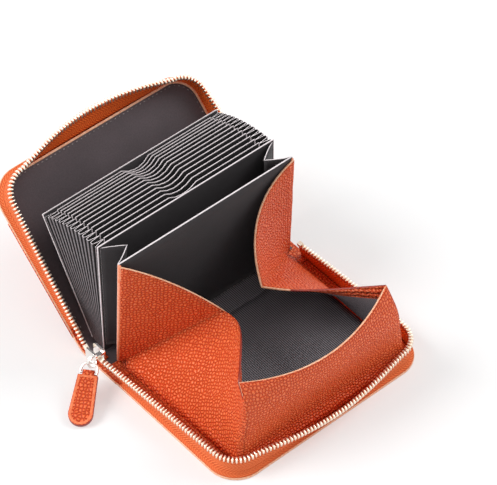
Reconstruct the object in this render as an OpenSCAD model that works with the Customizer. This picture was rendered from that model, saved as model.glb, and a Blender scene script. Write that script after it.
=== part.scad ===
// Zip-around accordion card wallet, standing open as in use.
// X runs along the spine, +Y towards the spine, +Z up from the table.
// The origin is the centre of the lower cover's underside.

/* [Covers] */
// Length of each cover from spine to free edge
cover_h = 80; // [78:1:86]
// Radius of the free corners
corner_r = 14; // [10:1:18]
// Thickness of the outer leather
leather_t = 1.4; // [1.2:0.1:1.8]
// Thickness of the stiffener board
board_t = 0.9; // [0.6:0.1:1.1]
// Thickness of the lining fabric
lining_t = 0.5; // [0.3:0.1:0.6]
// Length of the slip pocket on the outside of the upper cover
slip_h = 60; // [50:1:66]
// Thickness of the slip pocket leather
slip_t = 1; // [0.6:0.1:1.2]

/* [Spine] */
// Length of spine leather between the two covers
spine_w = 25; // [24:0.5:27]
// Outer radius of the bend where the spine turns up
spine_bend_r = 13; // [11:0.5:14]
// How much narrower than the covers the spine is at each end
spine_inset = 1; // [0.9:0.1:1.5]
// Angle of the upper cover above the table
cover_angle = 42; // [38:1:46]

/* [Zip] */
// Height of the zip tape from the leather to the teeth
tape_h = 9.5; // [8:0.5:10]
// Thickness of the zip tape
tape_t = 0.7; // [0.5:0.1:0.9]
// Distance of the tape from the edge of the leather
tape_inset = 2; // [1.6:0.1:2.4]
// Outward lean of the lower tape in the middle of the free edge
lower_edge_lean = 33; // [0:1:36]
// Outward lean of the upper tape in the middle of the free edge
upper_edge_lean = 46; // [0:1:48]
// Outward lean of the tapes at the spine, on the slider's side
left_lean = 21; // [20:1:23]
// Inward lean of the lower tape at the spine, on the other side
right_lean = 14; // [0:1:15]
// How far the tapes run on past the covers on the slider's side
tape_tail = 5.5; // [4:0.5:6.5]
// Distance from one tooth to the next
tooth_pitch = 1.7; // [1.5:0.1:2.4]
// Length of a tooth along the tape
tooth_len = 1; // [0.7:0.1:1.2]
// Width of a tooth across the tape
tooth_w = 2; // [1.6:0.1:2.2]
// Height of a tooth
tooth_h = 2.1; // [1.8:0.1:2.1]

/* [Slider and pull] */
// Side of the square slider plates
slider_size = 7.6; // [7:0.2:8.4]
// Thickness of a slider plate
plate_t = 0.9; // [0.7:0.1:1.1]
// Clear width between the slider plates
slider_gap = 3.4; // [3.2:0.1:3.6]
// Radius of the D-shaped pull ring to the middle of its wire
ring_r = 3.6; // [3.4:0.1:3.8]
// Length of the ring's straight sides
ring_leg = 1.2; // [1.1:0.1:1.6]
// Diameter of the ring wire
wire_d = 1.1; // [0.9:0.1:1.2]
// Length of the leather pull tab
tab_len = 24.5; // [22:0.5:28]
// Width of the leather pull tab at its free end
tab_w = 10.8; // [9:0.2:12]
// Width of the leather pull tab at the ring
tab_top_w = 8.8; // [8:0.2:9.6]
// Thickness of each of the tab's two leathers
tab_t = 1.1; // [0.9:0.1:1.2]

/* [Accordion] */
// Number of card dividers
divider_n = 13; // [13:1:13]
// Height of the card panels
panel_h = 66; // [60:1:68]
// Width of the front and back panels
panel_w = 98; // [94:1:100]
// Room beside the panels for the zip and the cover's edge
side_room = 7; // [6:0.5:9]
// Depth of the pleats at each end
pleat_d = 5.6; // [4:0.2:6.4]
// Thickness of a divider
divider_t = 0.28; // [0.2:0.02:0.3]
// Thickness of the front and back panels
panel_t = 0.5; // [0.4:0.1:0.6]
// Angle of the front panel above the table
front_angle = 89.6; // [88:0.2:91]
// Angle of the back panel above the table
back_angle = 59.9; // [56:0.1:66]
// Width of the accordion where it meets the spine
fan_base = 5.8; // [5.6:0.1:6.2]
// Width of the thumb notch
notch_w = 18; // [12:1:24]
// Depth of the thumb notch
notch_d = 4.5; // [3:0.5:6]

/* [Coin pouch] */
// Height of the coin wall
coin_h = 66; // [60:1:68]
// Angle of the coin wall above the table
coin_angle = 93.5; // [92:0.1:95]
// Thickness of the coin wall's core
coin_core_t = 0.6; // [0.5:0.1:0.8]
// Distance from the cover's spine edge to the foot of the coin wall
coin_foot = 5.3; // [4.6:0.1:6]
// Height of the pouch's front wall at its corners
front_h = 43.5; // [38:0.5:46]
// Thickness of the pouch leather
pouch_t = 0.9; // [0.7:0.1:1]
// Dip of the front wall's rim at its middle
rim_dip = 4.5; // [0:0.5:8]
// Outward bow of the front wall's rim
rim_bow = 10; // [0:0.5:11]
// How far the side gussets fold inwards
fold_in = 38.5; // [30:0.5:40]

/* [Hidden] */
$fn = 64;
leather_colour = [0.91, 0.38, 0.18];
tape_colour = [0.84, 0.26, 0.10];
lining_colour = [0.29, 0.26, 0.27];
fabric_colour = [0.33, 0.29, 0.30];
board_colour = [0.62, 0.56, 0.48];
metal_colour = [0.83, 0.80, 0.74];
// Clearances: between soft pieces, under the panels, round the running parts
soft_gap = 0.3;
foot_gap = 0.35;
run_gap = 0.25;
touch = 0.02;
// Layers of a cover
board_inset = 4;
lining_inset = 3;
hinge_margin = 3;
stack_t = leather_t + board_t + lining_t;
// Where the spine starts to bend, and the foot of the upper cover as Y and Z
spine_flat = spine_w - spine_bend_r * cover_angle * PI / 180;
inner_bend_r = spine_bend_r - leather_t;
bend_y = cover_h / 2 + spine_flat;
upper_foot = [bend_y + spine_bend_r * sin(cover_angle),
              spine_bend_r - spine_bend_r * cos(cover_angle)];
// Foot of the coin wall
coin_y = cover_h / 2 + coin_foot;
// Axis on which the card panels spread
fan_share = 0.68;
fan_y = cover_h / 2 + spine_w * fan_share;
fan_z = leather_t + lining_t - touch;
fan_steps = divider_n + 1;
fan_swing = 8;
spine_lining_w = panel_w + soft_gap;
lining_start = 1;
wallet_w = panel_w + 2 * side_room;
// Zip path, measured along the foot of the tape
foot_x = wallet_w / 2 - tape_inset;
foot_r = corner_r - tape_inset;
side_run = cover_h - corner_r;
arc_run = foot_r * PI / 2;
edge_run = wallet_w - 2 * corner_r;
tape_stations = 32;
tail_share = 0.78;
tail_cut = 1.1;
stop_len = 2.4;
// Lean along a tape: at the spine, in the middle of the free edge, and how
// fast it dies away towards the corner
lower_left = [tape_tail, left_lean, lower_edge_lean, 1];
lower_right = [0, -right_lean, lower_edge_lean, 1.5];
upper_left = [tape_tail - tail_cut, left_lean, upper_edge_lean, 0.8];
upper_right = [0, left_lean, upper_edge_lean, 0.8];
// Slider, with its middle set from the end of the lower teeth
mid_tooth = tape_h + tooth_h / 2;
slider_x = foot_x + mid_tooth * sin(left_lean);
chain_in_slider = 1.2;
slider_y = cover_h / 2 + tape_tail + slider_size / 2 - chain_in_slider;
slider_z = leather_t + tape_lift(left_lean) + mid_tooth * cos(left_lean);
plate_r = 1.6;
post_l = 2;
post_h = 1.2;
post_set = 0.2;
post_gap = 0.85;
bridge_r = 3.7;
bridge_hole_r = 2.9;
bridge_w = 1.2;
bridge_shift = -2.1;
ring_out = 1.6;
// Directions of the ring and the tab in plan, and their slopes
ring_yaw = 34;
tab_yaw = 40;
ring_slope = 35;
tab_slope = 17.6;
ring_in = [-slider_x - slider_gap / 2 - plate_t - ring_out, slider_y + bridge_shift, slider_z];
tab_root = ring_in + (ring_leg + ring_r) * along(ring_yaw, ring_slope);
loop_r = wire_d / 2 + run_gap;

function along(yaw, slope) =
    [-cos(yaw) * cos(slope), -sin(yaw) * cos(slope), -sin(slope)];

// Plan of a cover: X along the spine, Y from the spine edge to the free edge
module cover_plan(inset, back) {
    r = corner_r - inset;
    w = wallet_w - 2 * inset;
    h = cover_h - inset;
    translate([-w / 2, back]) square([w, h - r - back]);
    translate([r - w / 2, back]) square([w - 2 * r, h - back]);
    for (s = [-1, 1])
        translate([s * (w / 2 - r), h - r]) circle(r = r);
}

module layer(low, t, inset, back) {
    translate([0, 0, low]) linear_extrude(t) cover_plan(inset, back);
}

module on_lower() {
    translate([0, cover_h / 2, 0]) mirror([0, 1, 0]) children();
}

module on_upper() {
    translate([0, upper_foot[0], upper_foot[1]]) rotate([cover_angle, 0, 0]) children();
}

// A point of the zip path at length s from its end at the spine, for one side:
// X, Y, turn of the outward direction from -X, and lean
function side_path(side) = side_run + side[0];

function half_path(side) = side_path(side) + arc_run + edge_run / 2;

function edge_at(s, side) =
    let(run = side_path(side))
    s < run
        ? [-foot_x, s - side[0], 0, side[1] * pow(max(0, 1 - s / run), side[3])]
    : s < run + arc_run
        ? let(a = (s - run) / arc_run * 90)
          [foot_r - foot_x - foot_r * cos(a), side_run + foot_r * sin(a), a, 0]
        : let(f = (s - run - arc_run) / edge_run)
          [foot_r - foot_x + f * edge_run, cover_h - tape_inset, 90,
           side[2] * sin(180 * f)];

// How far a leaning tape is lifted so that its lower corner only touches
function tape_lift(lean) = tape_t / 2 * sin(abs(lean));

// Point at height h up the leaning tape
function tape_point(e, h) =
    [e[0] - cos(e[2]) * h * sin(e[3]), e[1] + sin(e[2]) * h * sin(e[3]),
     leather_t + touch + tape_lift(e[3]) + h * cos(e[3])];

function mirrored(p) = [-p[0], p[1], p[2]];

// Closed sheet of thickness t round the rows of a grid from one to another
function sheet_normal(g, i, j) =
    let(n = len(g) - 1, m = len(g[0]) - 1,
        a = g[min(i + 1, n)][j] - g[max(i - 1, 0)][j],
        b = g[i][min(j + 1, m)] - g[i][max(j - 1, 0)],
        c = cross(a, b))
    c / norm(c);

module sheet(g, t, from = 0, to = 0) {
    last = to > 0 ? to : len(g) - 1;
    n = last - from + 1;
    m = len(g[0]);
    half = t / 2;
    points = [
        for (side = [1, -1])
            for (i = [from : last])
                for (j = [0 : m - 1])
                    g[i][j] + side * half * sheet_normal(g, i, j)
    ];
    back = n * m;
    faces = [
        for (i = [0 : n - 2])
            for (j = [0 : m - 2])
                let(a = i * m + j, b = a + 1, c = a + m + 1, d = a + m)
                for (f = [[a, b, c], [a, c, d],
                          [back + a, back + c, back + b], [back + a, back + d, back + c]]) f,
        for (i = [0 : n - 2])
            let(a = i * m, d = a + m, b = a + m - 1, c = d + m - 1)
            for (f = [[a, d, back + d], [a, back + d, back + a],
                      [b, back + b, back + c], [b, back + c, c]]) f,
        for (j = [0 : m - 2])
            let(a = j, b = j + 1, d = (n - 1) * m + j, c = d + 1)
            for (f = [[a, back + a, back + b], [a, back + b, b],
                      [d, c, back + c], [d, back + c, back + d]]) f
    ];
    polyhedron(points = points, faces = faces, convexity = 8);
}

// Tape standing round three sides; past the spine edge only its rim runs on
function tape_half(side) = [
    for (i = [0 : tape_stations])
        let(e = edge_at(half_path(side) * i / tape_stations, side),
            low = e[1] < 0 ? tail_share * tape_h : 0)
        [tape_point(e, low), tape_point(e, tape_h)]
];

function corner_row(side) = ceil(tape_stations * (1 - edge_run / 2 / half_path(side)));

module tape(left, right, from = 0, to = 0) {
    a = tape_half(left);
    b = tape_half(right);
    far = [for (i = [tape_stations - 1 : -1 : 0]) [mirrored(b[i][0]), mirrored(b[i][1])]];
    sheet(concat(a, far), tape_t, from, to);
}

module at_edge(s, side) {
    e = edge_at(s, side);
    translate([e[0], e[1], leather_t + touch + tape_lift(e[3])])
        rotate([0, 0, -e[2]]) rotate([0, -e[3], 0]) children();
}

module tooth(s, side, len) {
    at_edge(s, side)
        translate([-tooth_w / 2, -len / 2, tape_h + touch]) cube([tooth_w, len, tooth_h]);
}

function tooth_count(side) = floor((half_path(side) - stop_len) / tooth_pitch);

module teeth_half(side) {
    for (i = [0 : tooth_count(side) - 1])
        tooth(half_path(side) - (i + 0.5) * tooth_pitch, side, tooth_len);
}

module stop_half(side) {
    stop_l = half_path(side) - tooth_count(side) * tooth_pitch - 2 * run_gap;
    tooth(run_gap + stop_l / 2, side, stop_l);
}

module lower_cover_leather() {
    color(leather_colour) on_lower() layer(0, leather_t, 0, 0);
}

module lower_board() {
    color(board_colour) on_lower() layer(leather_t, board_t, board_inset, hinge_margin);
}

module lower_lining() {
    color(leather_colour) on_lower()
        layer(leather_t + board_t, lining_t, lining_inset, hinge_margin);
}

module lower_zip_tape() {
    color(tape_colour) on_lower() tape(lower_left, lower_right);
}

module lower_zip_teeth() {
    color(metal_colour) on_lower() {
        teeth_half(lower_left);
        mirror([1, 0, 0]) teeth_half(lower_right);
    }
}

module lower_zip_stops() {
    color(metal_colour) on_lower() {
        stop_half(lower_left);
        mirror([1, 0, 0]) stop_half(lower_right);
    }
}

module upper_cover_leather() {
    color(leather_colour) on_upper() layer(0, leather_t, 0, 0);
}

module upper_board() {
    color(board_colour) on_upper() layer(leather_t, board_t, board_inset, hinge_margin);
}

module upper_lining() {
    color(lining_colour) on_upper()
        layer(leather_t + board_t, lining_t, lining_inset, hinge_margin);
}

module slip_pocket() {
    color(leather_colour) on_upper()
        translate([-wallet_w / 2, 0, -slip_t]) cube([wallet_w, slip_h, slip_t]);
}

module upper_zip_tape_left() {
    color(tape_colour) on_upper() tape(upper_left, upper_right, 0, corner_row(upper_left));
}

module upper_zip_tape_edge() {
    color(tape_colour) on_upper()
        tape(upper_left, upper_right, corner_row(upper_left),
             2 * tape_stations - corner_row(upper_right));
}

module upper_zip_tape_right() {
    color(tape_colour) on_upper()
        tape(upper_left, upper_right, 2 * tape_stations - corner_row(upper_right),
             2 * tape_stations);
}

module upper_zip_teeth() {
    color(metal_colour) on_upper() {
        teeth_half(upper_left);
        mirror([1, 0, 0]) teeth_half(upper_right);
    }
}

module upper_zip_stops() {
    color(metal_colour) on_upper() {
        stop_half(upper_left);
        mirror([1, 0, 0]) stop_half(upper_right);
    }
}

// Profile of the spine in Y and Z between two distances from the outer face
module spine_profile(low, high, start, margin) {
    translate([cover_h / 2 + start, low]) square([spine_flat - start, high - low]);
    translate([bend_y, spine_bend_r]) intersection() {
        difference() {
            circle(r = spine_bend_r - low);
            circle(r = spine_bend_r - high);
        }
        reach = 2 * spine_bend_r;
        turn = cover_angle - margin;
        polygon([[0, 0], [0, -reach], [reach * tan(turn / 2), -reach],
                 reach * [sin(turn), -cos(turn)]]);
    }
}

module spine_leather() {
    color(leather_colour) rotate([90, 0, 90])
        linear_extrude(wallet_w - 2 * spine_inset, center = true)
            spine_profile(0, leather_t, 0, 0);
}

module spine_lining() {
    color(lining_colour) rotate([90, 0, 90])
        linear_extrude(spine_lining_w, center = true)
            spine_profile(leather_t, leather_t + lining_t, lining_start, cover_angle / 6);
}

// Leather tabs sewn over the ends of the zip, on the inside of the spine
module zip_end_tabs() {
    tab_y = spine_flat / 3;
    tab_x = spine_lining_w / 2 + soft_gap;
    color(tape_colour)
        for (s = [0, 1])
            mirror([s, 0, 0])
                translate([tab_x, bend_y - tab_y - lining_start, leather_t])
                    cube([wallet_w / 2 - spine_inset - tab_x, tab_y, leather_t]);
}

// Height of the spine's inside above the table at a given Y
function spine_top(y) =
    let(r = inner_bend_r - lining_t, c = min(max(y - bend_y, 0), r * 0.99))
    spine_bend_r - sqrt(r * r - c * c);

// Card panels: q counts the steps from the back panel, 0, to the front panel
function fan_angle(q) = back_angle + q * (front_angle - back_angle) / fan_steps;

function fan_offset(q) = q * fan_base / fan_steps - fan_base / 2;

function fan_point(x, q, r) =
    let(a = fan_angle(q), d = fan_offset(q))
    [x, fan_y + r * cos(a) - d * sin(a), fan_z + r * sin(a) + d * cos(a)];

// Distance from the axis to a panel's foot, found step by step: it clears the
// spine lining at rest and when the panel swings forward
function fan_foot(q, r = 0, n = 8) =
    n == 0 ? r
    : let(a = fan_angle(q), d = fan_offset(q) - panel_t,
          lift = foot_gap + max(0, d + 2 * panel_t) * sin(fan_swing),
          top = spine_top(fan_y + r * cos(a) - d * sin(a)))
      fan_foot(q, (top + lift - fan_z - d * cos(a)) / sin(a), n - 1);

// Shape of the thumb notch
knee_drop_share = 0.75;
corner_share = 1.2;

module fan_panel(q, t, shift, w, h) {
    translate([0, fan_y, fan_z]) rotate([fan_angle(q), 0, 0])
        translate([0, 0, fan_offset(q) + shift - t / 2]) linear_extrude(t)
            polygon(concat(
                [[-w / 2, fan_foot(q)], [w / 2, fan_foot(q)], [w / 2, h]],
                h < panel_h ? [
                    [notch_w / 2, h], [notch_w / 2 - notch_d / 2, h - notch_d * knee_drop_share],
                    [notch_w / 2 - notch_d * corner_share, h - notch_d],
                    [notch_d * corner_share - notch_w / 2, h - notch_d],
                    [notch_d / 2 - notch_w / 2, h - notch_d * knee_drop_share],
                    [-notch_w / 2, h]
                ] : [],
                [[-w / 2, h]]));
}

divider_drop = 0.6;

module divider(q) {
    color(fabric_colour)
        fan_panel(q, divider_t, 0, panel_w - 2 * pleat_d - 2 * soft_gap, panel_h - divider_drop);
}

module back_panel() {
    color(fabric_colour) fan_panel(0, panel_t, (divider_t - panel_t) / 2, panel_w, panel_h);
}

module front_panel() {
    color(fabric_colour)
        fan_panel(fan_steps, panel_t, (panel_t - divider_t) / 2, panel_w, panel_h);
}

// Pleats: ridges stand out between the dividers, folds run in to them
fold_skin = 0.3;
end_share = 0.55;

module bellows(s) {
    top_r = panel_h - 2 * divider_drop;
    out_x = panel_w / 2 - fold_skin;
    in_x = panel_w / 2 - pleat_d;
    steps = [for (k = [0 : 2 * divider_n])
        k == 0 ? end_share : k == 2 * divider_n ? fan_steps - end_share : (k + 1) / 2];
    grid = [
        for (k = [0 : 2 * divider_n])
            let(x = k % 2 == 0 ? out_x : in_x)
            [for (r = [fan_foot(steps[k]) + foot_gap, top_r]) fan_point(s * x, steps[k], r)]
    ];
    n = len(grid);
    points = [
        for (side = [1, -1])
            for (i = [0 : n - 1])
                for (j = [0, 1])
                    grid[i][j] + [side * fold_skin / 2, 0, 0]
    ];
    back = 2 * n;
    quads = [
        for (i = [0 : n - 2])
            let(a = 2 * i, d = a + 2)
            for (f = [[a, a + 1, d + 1, d], [back + a, back + d, back + d + 1, back + a + 1],
                      [a, d, back + d, back + a], [a + 1, back + a + 1, back + d + 1, d + 1]]) f,
        [0, back, back + 1, 1],
        [2 * n - 2, 2 * n - 1, back + 2 * n - 1, back + 2 * n - 2]
    ];
    faces = [for (f = quads) for (t = [[f[0], f[1], f[2]], [f[0], f[2], f[3]]]) t];
    polyhedron(points = points, faces = faces, convexity = 20);
}

module left_bellows() {
    color(fabric_colour) bellows(-1);
}

module right_bellows() {
    color(fabric_colour) bellows(1);
}

// Coin wall: a stiff panel, lined on the side that faces the pouch
coin_narrower = 2;
coin_w = panel_w - coin_narrower;
function coin_point(x, r, off) =
    [x, coin_y + r * cos(coin_angle) - off * sin(coin_angle),
     fan_z + r * sin(coin_angle) + off * cos(coin_angle)];

module coin_sheet(off, t, w, h) {
    translate([0, coin_y, fan_z]) rotate([coin_angle, 0, 0])
        translate([-w / 2, foot_gap + t, off]) cube([w, h - foot_gap - t, t]);
}

module coin_wall() {
    color(fabric_colour) coin_sheet(-coin_core_t, coin_core_t, coin_w, coin_h);
}

module coin_wall_lining() {
    color(lining_colour) coin_sheet(0, lining_t, coin_w, coin_h);
}

// Side of the wide pocket: folded inwards between front panel and coin wall
gusset_set = 2;
valley = 9;
gusset_shares = [0.06, 0.5, 0.98];
module wide_gusset(s) {
    x_out = panel_w / 2 - gusset_set;
    t = lining_t;
    grid = [
        for (f = gusset_shares)
            let(r = f * coin_h,
                a = fan_point(s * x_out, fan_steps, r) - [0, panel_t + t, 0],
                b = coin_point(s * x_out, r, -coin_core_t - t),
                c = (a + b) / 2 - [s * valley * (0.5 + f / 2), 0, 0])
            [a, c, b]
    ];
    sheet(grid, t);
}

module left_wide_gusset() {
    color(fabric_colour) wide_gusset(-1);
}

module right_wide_gusset() {
    color(fabric_colour) wide_gusset(1);
}

// Pouch floor of ribbed fabric
floor_side = 4;
floor_w = panel_w - 2 * floor_side;
floor_back = 6;
floor_front = 5;
module coin_floor() {
    color(fabric_colour) on_lower()
        translate([-floor_w / 2, floor_back, stack_t])
            cube([floor_w, cover_h - floor_back - floor_front, lining_t]);
}

// Corner points of the pouch, left side
base_z = stack_t + lining_t + pouch_t / 2;
wall_y = -cover_h / 2 + tape_inset + tape_t + 3 * soft_gap + pouch_t / 2;
pouch_heel = [-panel_w / 2, coin_y - lining_t - pouch_t - 2 * soft_gap, base_z];
wall_inset = 2.4;
wall_toe = [wall_inset - panel_w / 2, wall_y, base_z];
pouch_toe = wall_toe + [-pouch_t - soft_gap, pouch_t + soft_gap, 0];
wall_lean = 9;
wall_in = 5.6;
wall_top = wall_toe + [wall_in, wall_lean, front_h];
gusset_top = wall_top + [-soft_gap, pouch_t + 2 * soft_gap, 0];
rim_drop = 1;
coin_top = coin_point(-coin_w / 2, coin_h - rim_drop, lining_t + pouch_t / 2 + soft_gap);
fold_back = 27.5;
fold_up = 27;
fold_tip = [fold_in - panel_w / 2, coin_y - fold_back, base_z + fold_up];
fold_knee = fold_tip + [-3.4, -13.4, 6.7];

function bezier(a, b, c, f) = (1 - f) * (1 - f) * a + 2 * f * (1 - f) * b + f * f * c;

// Gusset: columns rise from the floor edge to the free edge, through the
// crease that runs from the heel of the pouch to the fold tip
upper_cols = 7;
lower_cols = 9;
gusset_rows = 7;
belly = 3.5;
knee_share = 1.1;
// How the upper rim swells: upwards, and on the right also inwards and back
left_crown = [0, 0, 7];
right_crown = [12, 12, 7];

function gusset_rim(f, crown) =
    f < 1 ? bezier(coin_top, (coin_top + fold_tip) / 2 + crown, fold_tip, f)
    : bezier(fold_tip, fold_knee + (fold_knee - (fold_tip + gusset_top) / 2) * knee_share,
             gusset_top, f - 1);

heel_share = 0.03;

function gusset_foot(f, crown) =
    f <= 1 ? pouch_heel + (gusset_rim(f, crown) - pouch_heel) * heel_share
    : pouch_heel + (pouch_toe - pouch_heel) * (f - 1);

function gusset_point(f, v, crown) =
    let(a = gusset_foot(f, crown), b = gusset_rim(f, crown),
        puff = f > 1 ? belly * sin(180 * (f - 1)) * sin(180 * v) : 0)
    a + (b - a) * v + puff * [-0.6, 0, 0.8];

module coin_gusset(crown) {
    grid = [
        for (i = [0 : upper_cols + lower_cols])
            let(f = i <= upper_cols ? i / upper_cols : 1 + (i - upper_cols) / lower_cols)
            [for (j = [0 : gusset_rows]) gusset_point(f, j / gusset_rows, crown)]
    ];
    sheet(grid, pouch_t);
}

module left_coin_gusset() {
    color(leather_colour) coin_gusset(left_crown);
}

module right_coin_gusset() {
    color(leather_colour) mirror([1, 0, 0]) coin_gusset(right_crown);
}

// Front wall of the pouch: bowed outwards, its rim dipping at the middle
wall_cols = 16;
wall_rows = 6;
module coin_front_wall() {
    grid = [
        for (i = [0 : wall_cols])
            let(f = 2 * i / wall_cols - 1, hump = 1 - f * f)
            [for (j = [0 : wall_rows])
                let(v = j / wall_rows,
                    half = -wall_toe[0] - wall_in * v)
                [f * half,
                 wall_y + (wall_lean - rim_bow * hump) * v * v,
                 base_z + (front_h - rim_dip * hump) * v]]
    ];
    color(leather_colour) sheet(grid, pouch_t);
}

// Slider: two plates held apart by a post above the lower teeth
module slider_plate() {
    rotate([0, 90, 0]) linear_extrude(plate_t) {
        r = plate_r;
        s = slider_size;
        translate([r - s / 2, -s / 2]) square([s - 2 * r, s]);
        translate([-s / 2, r - s / 2]) square([s, s - 2 * r]);
        for (a = [-1, 1])
            for (b = [-1, 1])
                translate([a * (s / 2 - r), b * (s / 2 - r)]) circle(r = r);
    }
}

module slider_body() {
    color(metal_colour) translate([-slider_x, slider_y, slider_z]) {
        translate([slider_gap / 2, 0, 0]) slider_plate();
        translate([-slider_gap / 2 - plate_t, 0, 0]) slider_plate();
        translate([-slider_gap / 2 - touch, post_set - slider_size / 2,
                   tooth_h / 2 + post_gap])
            cube([slider_gap + 2 * touch, post_l, post_h]);
    }
}

module slider_bridge() {
    color(metal_colour)
        translate([-slider_x - slider_gap / 2 - plate_t,
                   slider_y + bridge_shift + bridge_w / 2, slider_z])
            rotate([90, 0, 0]) linear_extrude(bridge_w)
                intersection() {
                    difference() {
                        circle(r = bridge_r);
                        circle(r = bridge_hole_r);
                    }
                    translate([-2 * bridge_r, -bridge_r]) square(2 * bridge_r);
                }
}

// D-shaped ring: the bow runs through the bridge, the bar through the tab
module pull_ring() {
    color(metal_colour)
        translate(tab_root) rotate([0, 0, ring_yaw]) rotate([0, -ring_slope, 0]) {
            translate([ring_leg, 0, 0]) rotate([0, 0, -90]) rotate_extrude(angle = 180)
                translate([ring_r, 0]) circle(d = wire_d);
            rotate([90, 0, 0]) cylinder(h = 2 * ring_r, d = wire_d, center = true);
            for (e = [-1, 1])
                translate([0, e * ring_r, 0]) {
                    sphere(d = wire_d);
                    rotate([0, 90, 0]) cylinder(h = ring_leg, d = wire_d);
                }
        }
}

// Pull tab: two leathers sewn back to back, rolled round the bar at one end
module on_tab() {
    translate(tab_root) rotate([0, 0, tab_yaw]) rotate([0, -tab_slope, 0]) children();
}

hem_w = 5;
roll_t = 0.7;
shoulder = loop_r + roll_t / 4;

module tab_plan() {
    r = tab_w / 2;
    top = tab_top_w / 2;
    translate([r - tab_len, 0]) circle(r = r);
    polygon([[r - tab_len, -r], [-shoulder, -top], [-shoulder, -hem_w / 2], [0, -hem_w / 2],
             [0, hem_w / 2], [-shoulder, hem_w / 2], [-shoulder, top], [r - tab_len, r]]);
}

// Half of the tab on one side of its seam: 1 for the upper leather
module tab_leather(side) {
    big = 2 * (loop_r + roll_t);
    on_tab() intersection() {
        translate([-tab_len, -tab_w / 2, side > 0 ? 0 : -big])
            cube([tab_len + big, tab_w, big]);
        difference() {
            union() {
                translate([0, 0, -tab_t]) linear_extrude(2 * tab_t) tab_plan();
                rotate([90, 0, 0]) cylinder(h = hem_w, r = loop_r + roll_t, center = true);
            }
            rotate([90, 0, 0]) cylinder(h = tab_w, r = loop_r, center = true);
        }
    }
}

module pull_tab_face() {
    color(leather_colour) tab_leather(1);
}

module pull_tab_back() {
    color(leather_colour) tab_leather(-1);
}

lower_cover_leather();
lower_board();
lower_lining();
lower_zip_tape();
lower_zip_teeth();
lower_zip_stops();
coin_floor();
coin_front_wall();
left_coin_gusset();
right_coin_gusset();
spine_leather();
spine_lining();
zip_end_tabs();
upper_cover_leather();
upper_board();
upper_lining();
slip_pocket();
upper_zip_tape_left();
upper_zip_tape_edge();
upper_zip_tape_right();
upper_zip_teeth();
upper_zip_stops();
coin_wall();
coin_wall_lining();
left_wide_gusset();
right_wide_gusset();
front_panel();
back_panel();
left_bellows();
right_bellows();
divider(1);  // divider_01
divider(2);  // divider_02
divider(3);  // divider_03
divider(4);  // divider_04
divider(5);  // divider_05
divider(6);  // divider_06
divider(7);  // divider_07
divider(8);  // divider_08
divider(9);  // divider_09
divider(10);  // divider_10
divider(11);  // divider_11
divider(12);  // divider_12
divider(13);  // divider_13
slider_body();
slider_bridge();
pull_ring();
pull_tab_face();
pull_tab_back();
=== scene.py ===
"""Looks of a zip-around accordion wallet that stands open.

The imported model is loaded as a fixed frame. Leather, cloth, zip and stitching
are built round it. Sizes in the classes are in millimetres, and every mesh is
written in metres.
"""

from __future__ import annotations

import logging
import math
from collections.abc import Callable, Iterable, Sequence
from dataclasses import dataclass, field
from enum import Enum

import bmesh
import bpy
from mathutils import Matrix, Vector, noise


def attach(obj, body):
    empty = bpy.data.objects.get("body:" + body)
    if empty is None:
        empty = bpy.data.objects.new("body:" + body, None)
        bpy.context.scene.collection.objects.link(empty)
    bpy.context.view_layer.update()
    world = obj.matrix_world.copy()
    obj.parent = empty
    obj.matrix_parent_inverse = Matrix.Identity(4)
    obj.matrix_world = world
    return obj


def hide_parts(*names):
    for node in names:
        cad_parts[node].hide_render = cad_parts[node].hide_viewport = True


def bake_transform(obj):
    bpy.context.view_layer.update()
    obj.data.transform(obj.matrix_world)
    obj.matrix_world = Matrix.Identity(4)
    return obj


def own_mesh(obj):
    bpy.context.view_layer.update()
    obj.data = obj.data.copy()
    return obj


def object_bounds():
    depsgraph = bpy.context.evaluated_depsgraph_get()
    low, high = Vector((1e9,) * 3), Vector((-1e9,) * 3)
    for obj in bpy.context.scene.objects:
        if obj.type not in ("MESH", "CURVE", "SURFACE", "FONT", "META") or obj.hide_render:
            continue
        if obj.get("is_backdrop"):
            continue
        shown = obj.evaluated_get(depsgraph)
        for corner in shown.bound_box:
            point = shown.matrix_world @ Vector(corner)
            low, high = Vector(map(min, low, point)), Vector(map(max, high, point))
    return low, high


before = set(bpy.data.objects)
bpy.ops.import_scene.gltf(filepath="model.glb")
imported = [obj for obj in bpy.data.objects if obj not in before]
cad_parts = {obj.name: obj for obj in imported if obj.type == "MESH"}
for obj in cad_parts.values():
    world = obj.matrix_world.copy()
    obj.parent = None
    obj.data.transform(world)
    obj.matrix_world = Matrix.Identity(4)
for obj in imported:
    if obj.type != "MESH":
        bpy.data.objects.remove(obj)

log = logging.getLogger("wallet")

MM = 0.001
CLOTH_MAP = "cloth"
Colour = tuple[float, float, float]
Place = Callable[[float, float], Vector]


class Side(Enum):
    """End of the spine that a piece belongs to."""

    LEFT = -1
    RIGHT = 1


class Wire:
    """A value socket that takes part in Python sums."""

    def __init__(self, bench: "Bench", socket: bpy.types.NodeSocket) -> None:
        """Keeps the socket and the tree it belongs to."""
        self.bench = bench
        self.socket = socket

    def __add__(self, other: "Wire | float") -> "Wire":
        """Sum."""
        return self.bench.sum_of("ADD", self, other)

    __radd__ = __add__

    def __mul__(self, other: "Wire | float") -> "Wire":
        """Product."""
        return self.bench.sum_of("MULTIPLY", self, other)

    __rmul__ = __mul__

    def __sub__(self, other: "Wire | float") -> "Wire":
        """Difference."""
        return self.bench.sum_of("SUBTRACT", self, other)

    def __rsub__(self, other: float) -> "Wire":
        """Difference with the number first."""
        return self.bench.sum_of("SUBTRACT", other, self)

    def __truediv__(self, other: float) -> "Wire":
        """Quotient."""
        return self.bench.sum_of("DIVIDE", self, other)

    def act(self, kind: str, other: "Wire | float" = 0.0) -> "Wire":
        """Any other operation of a Math node."""
        return self.bench.sum_of(kind, self, other)


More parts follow.
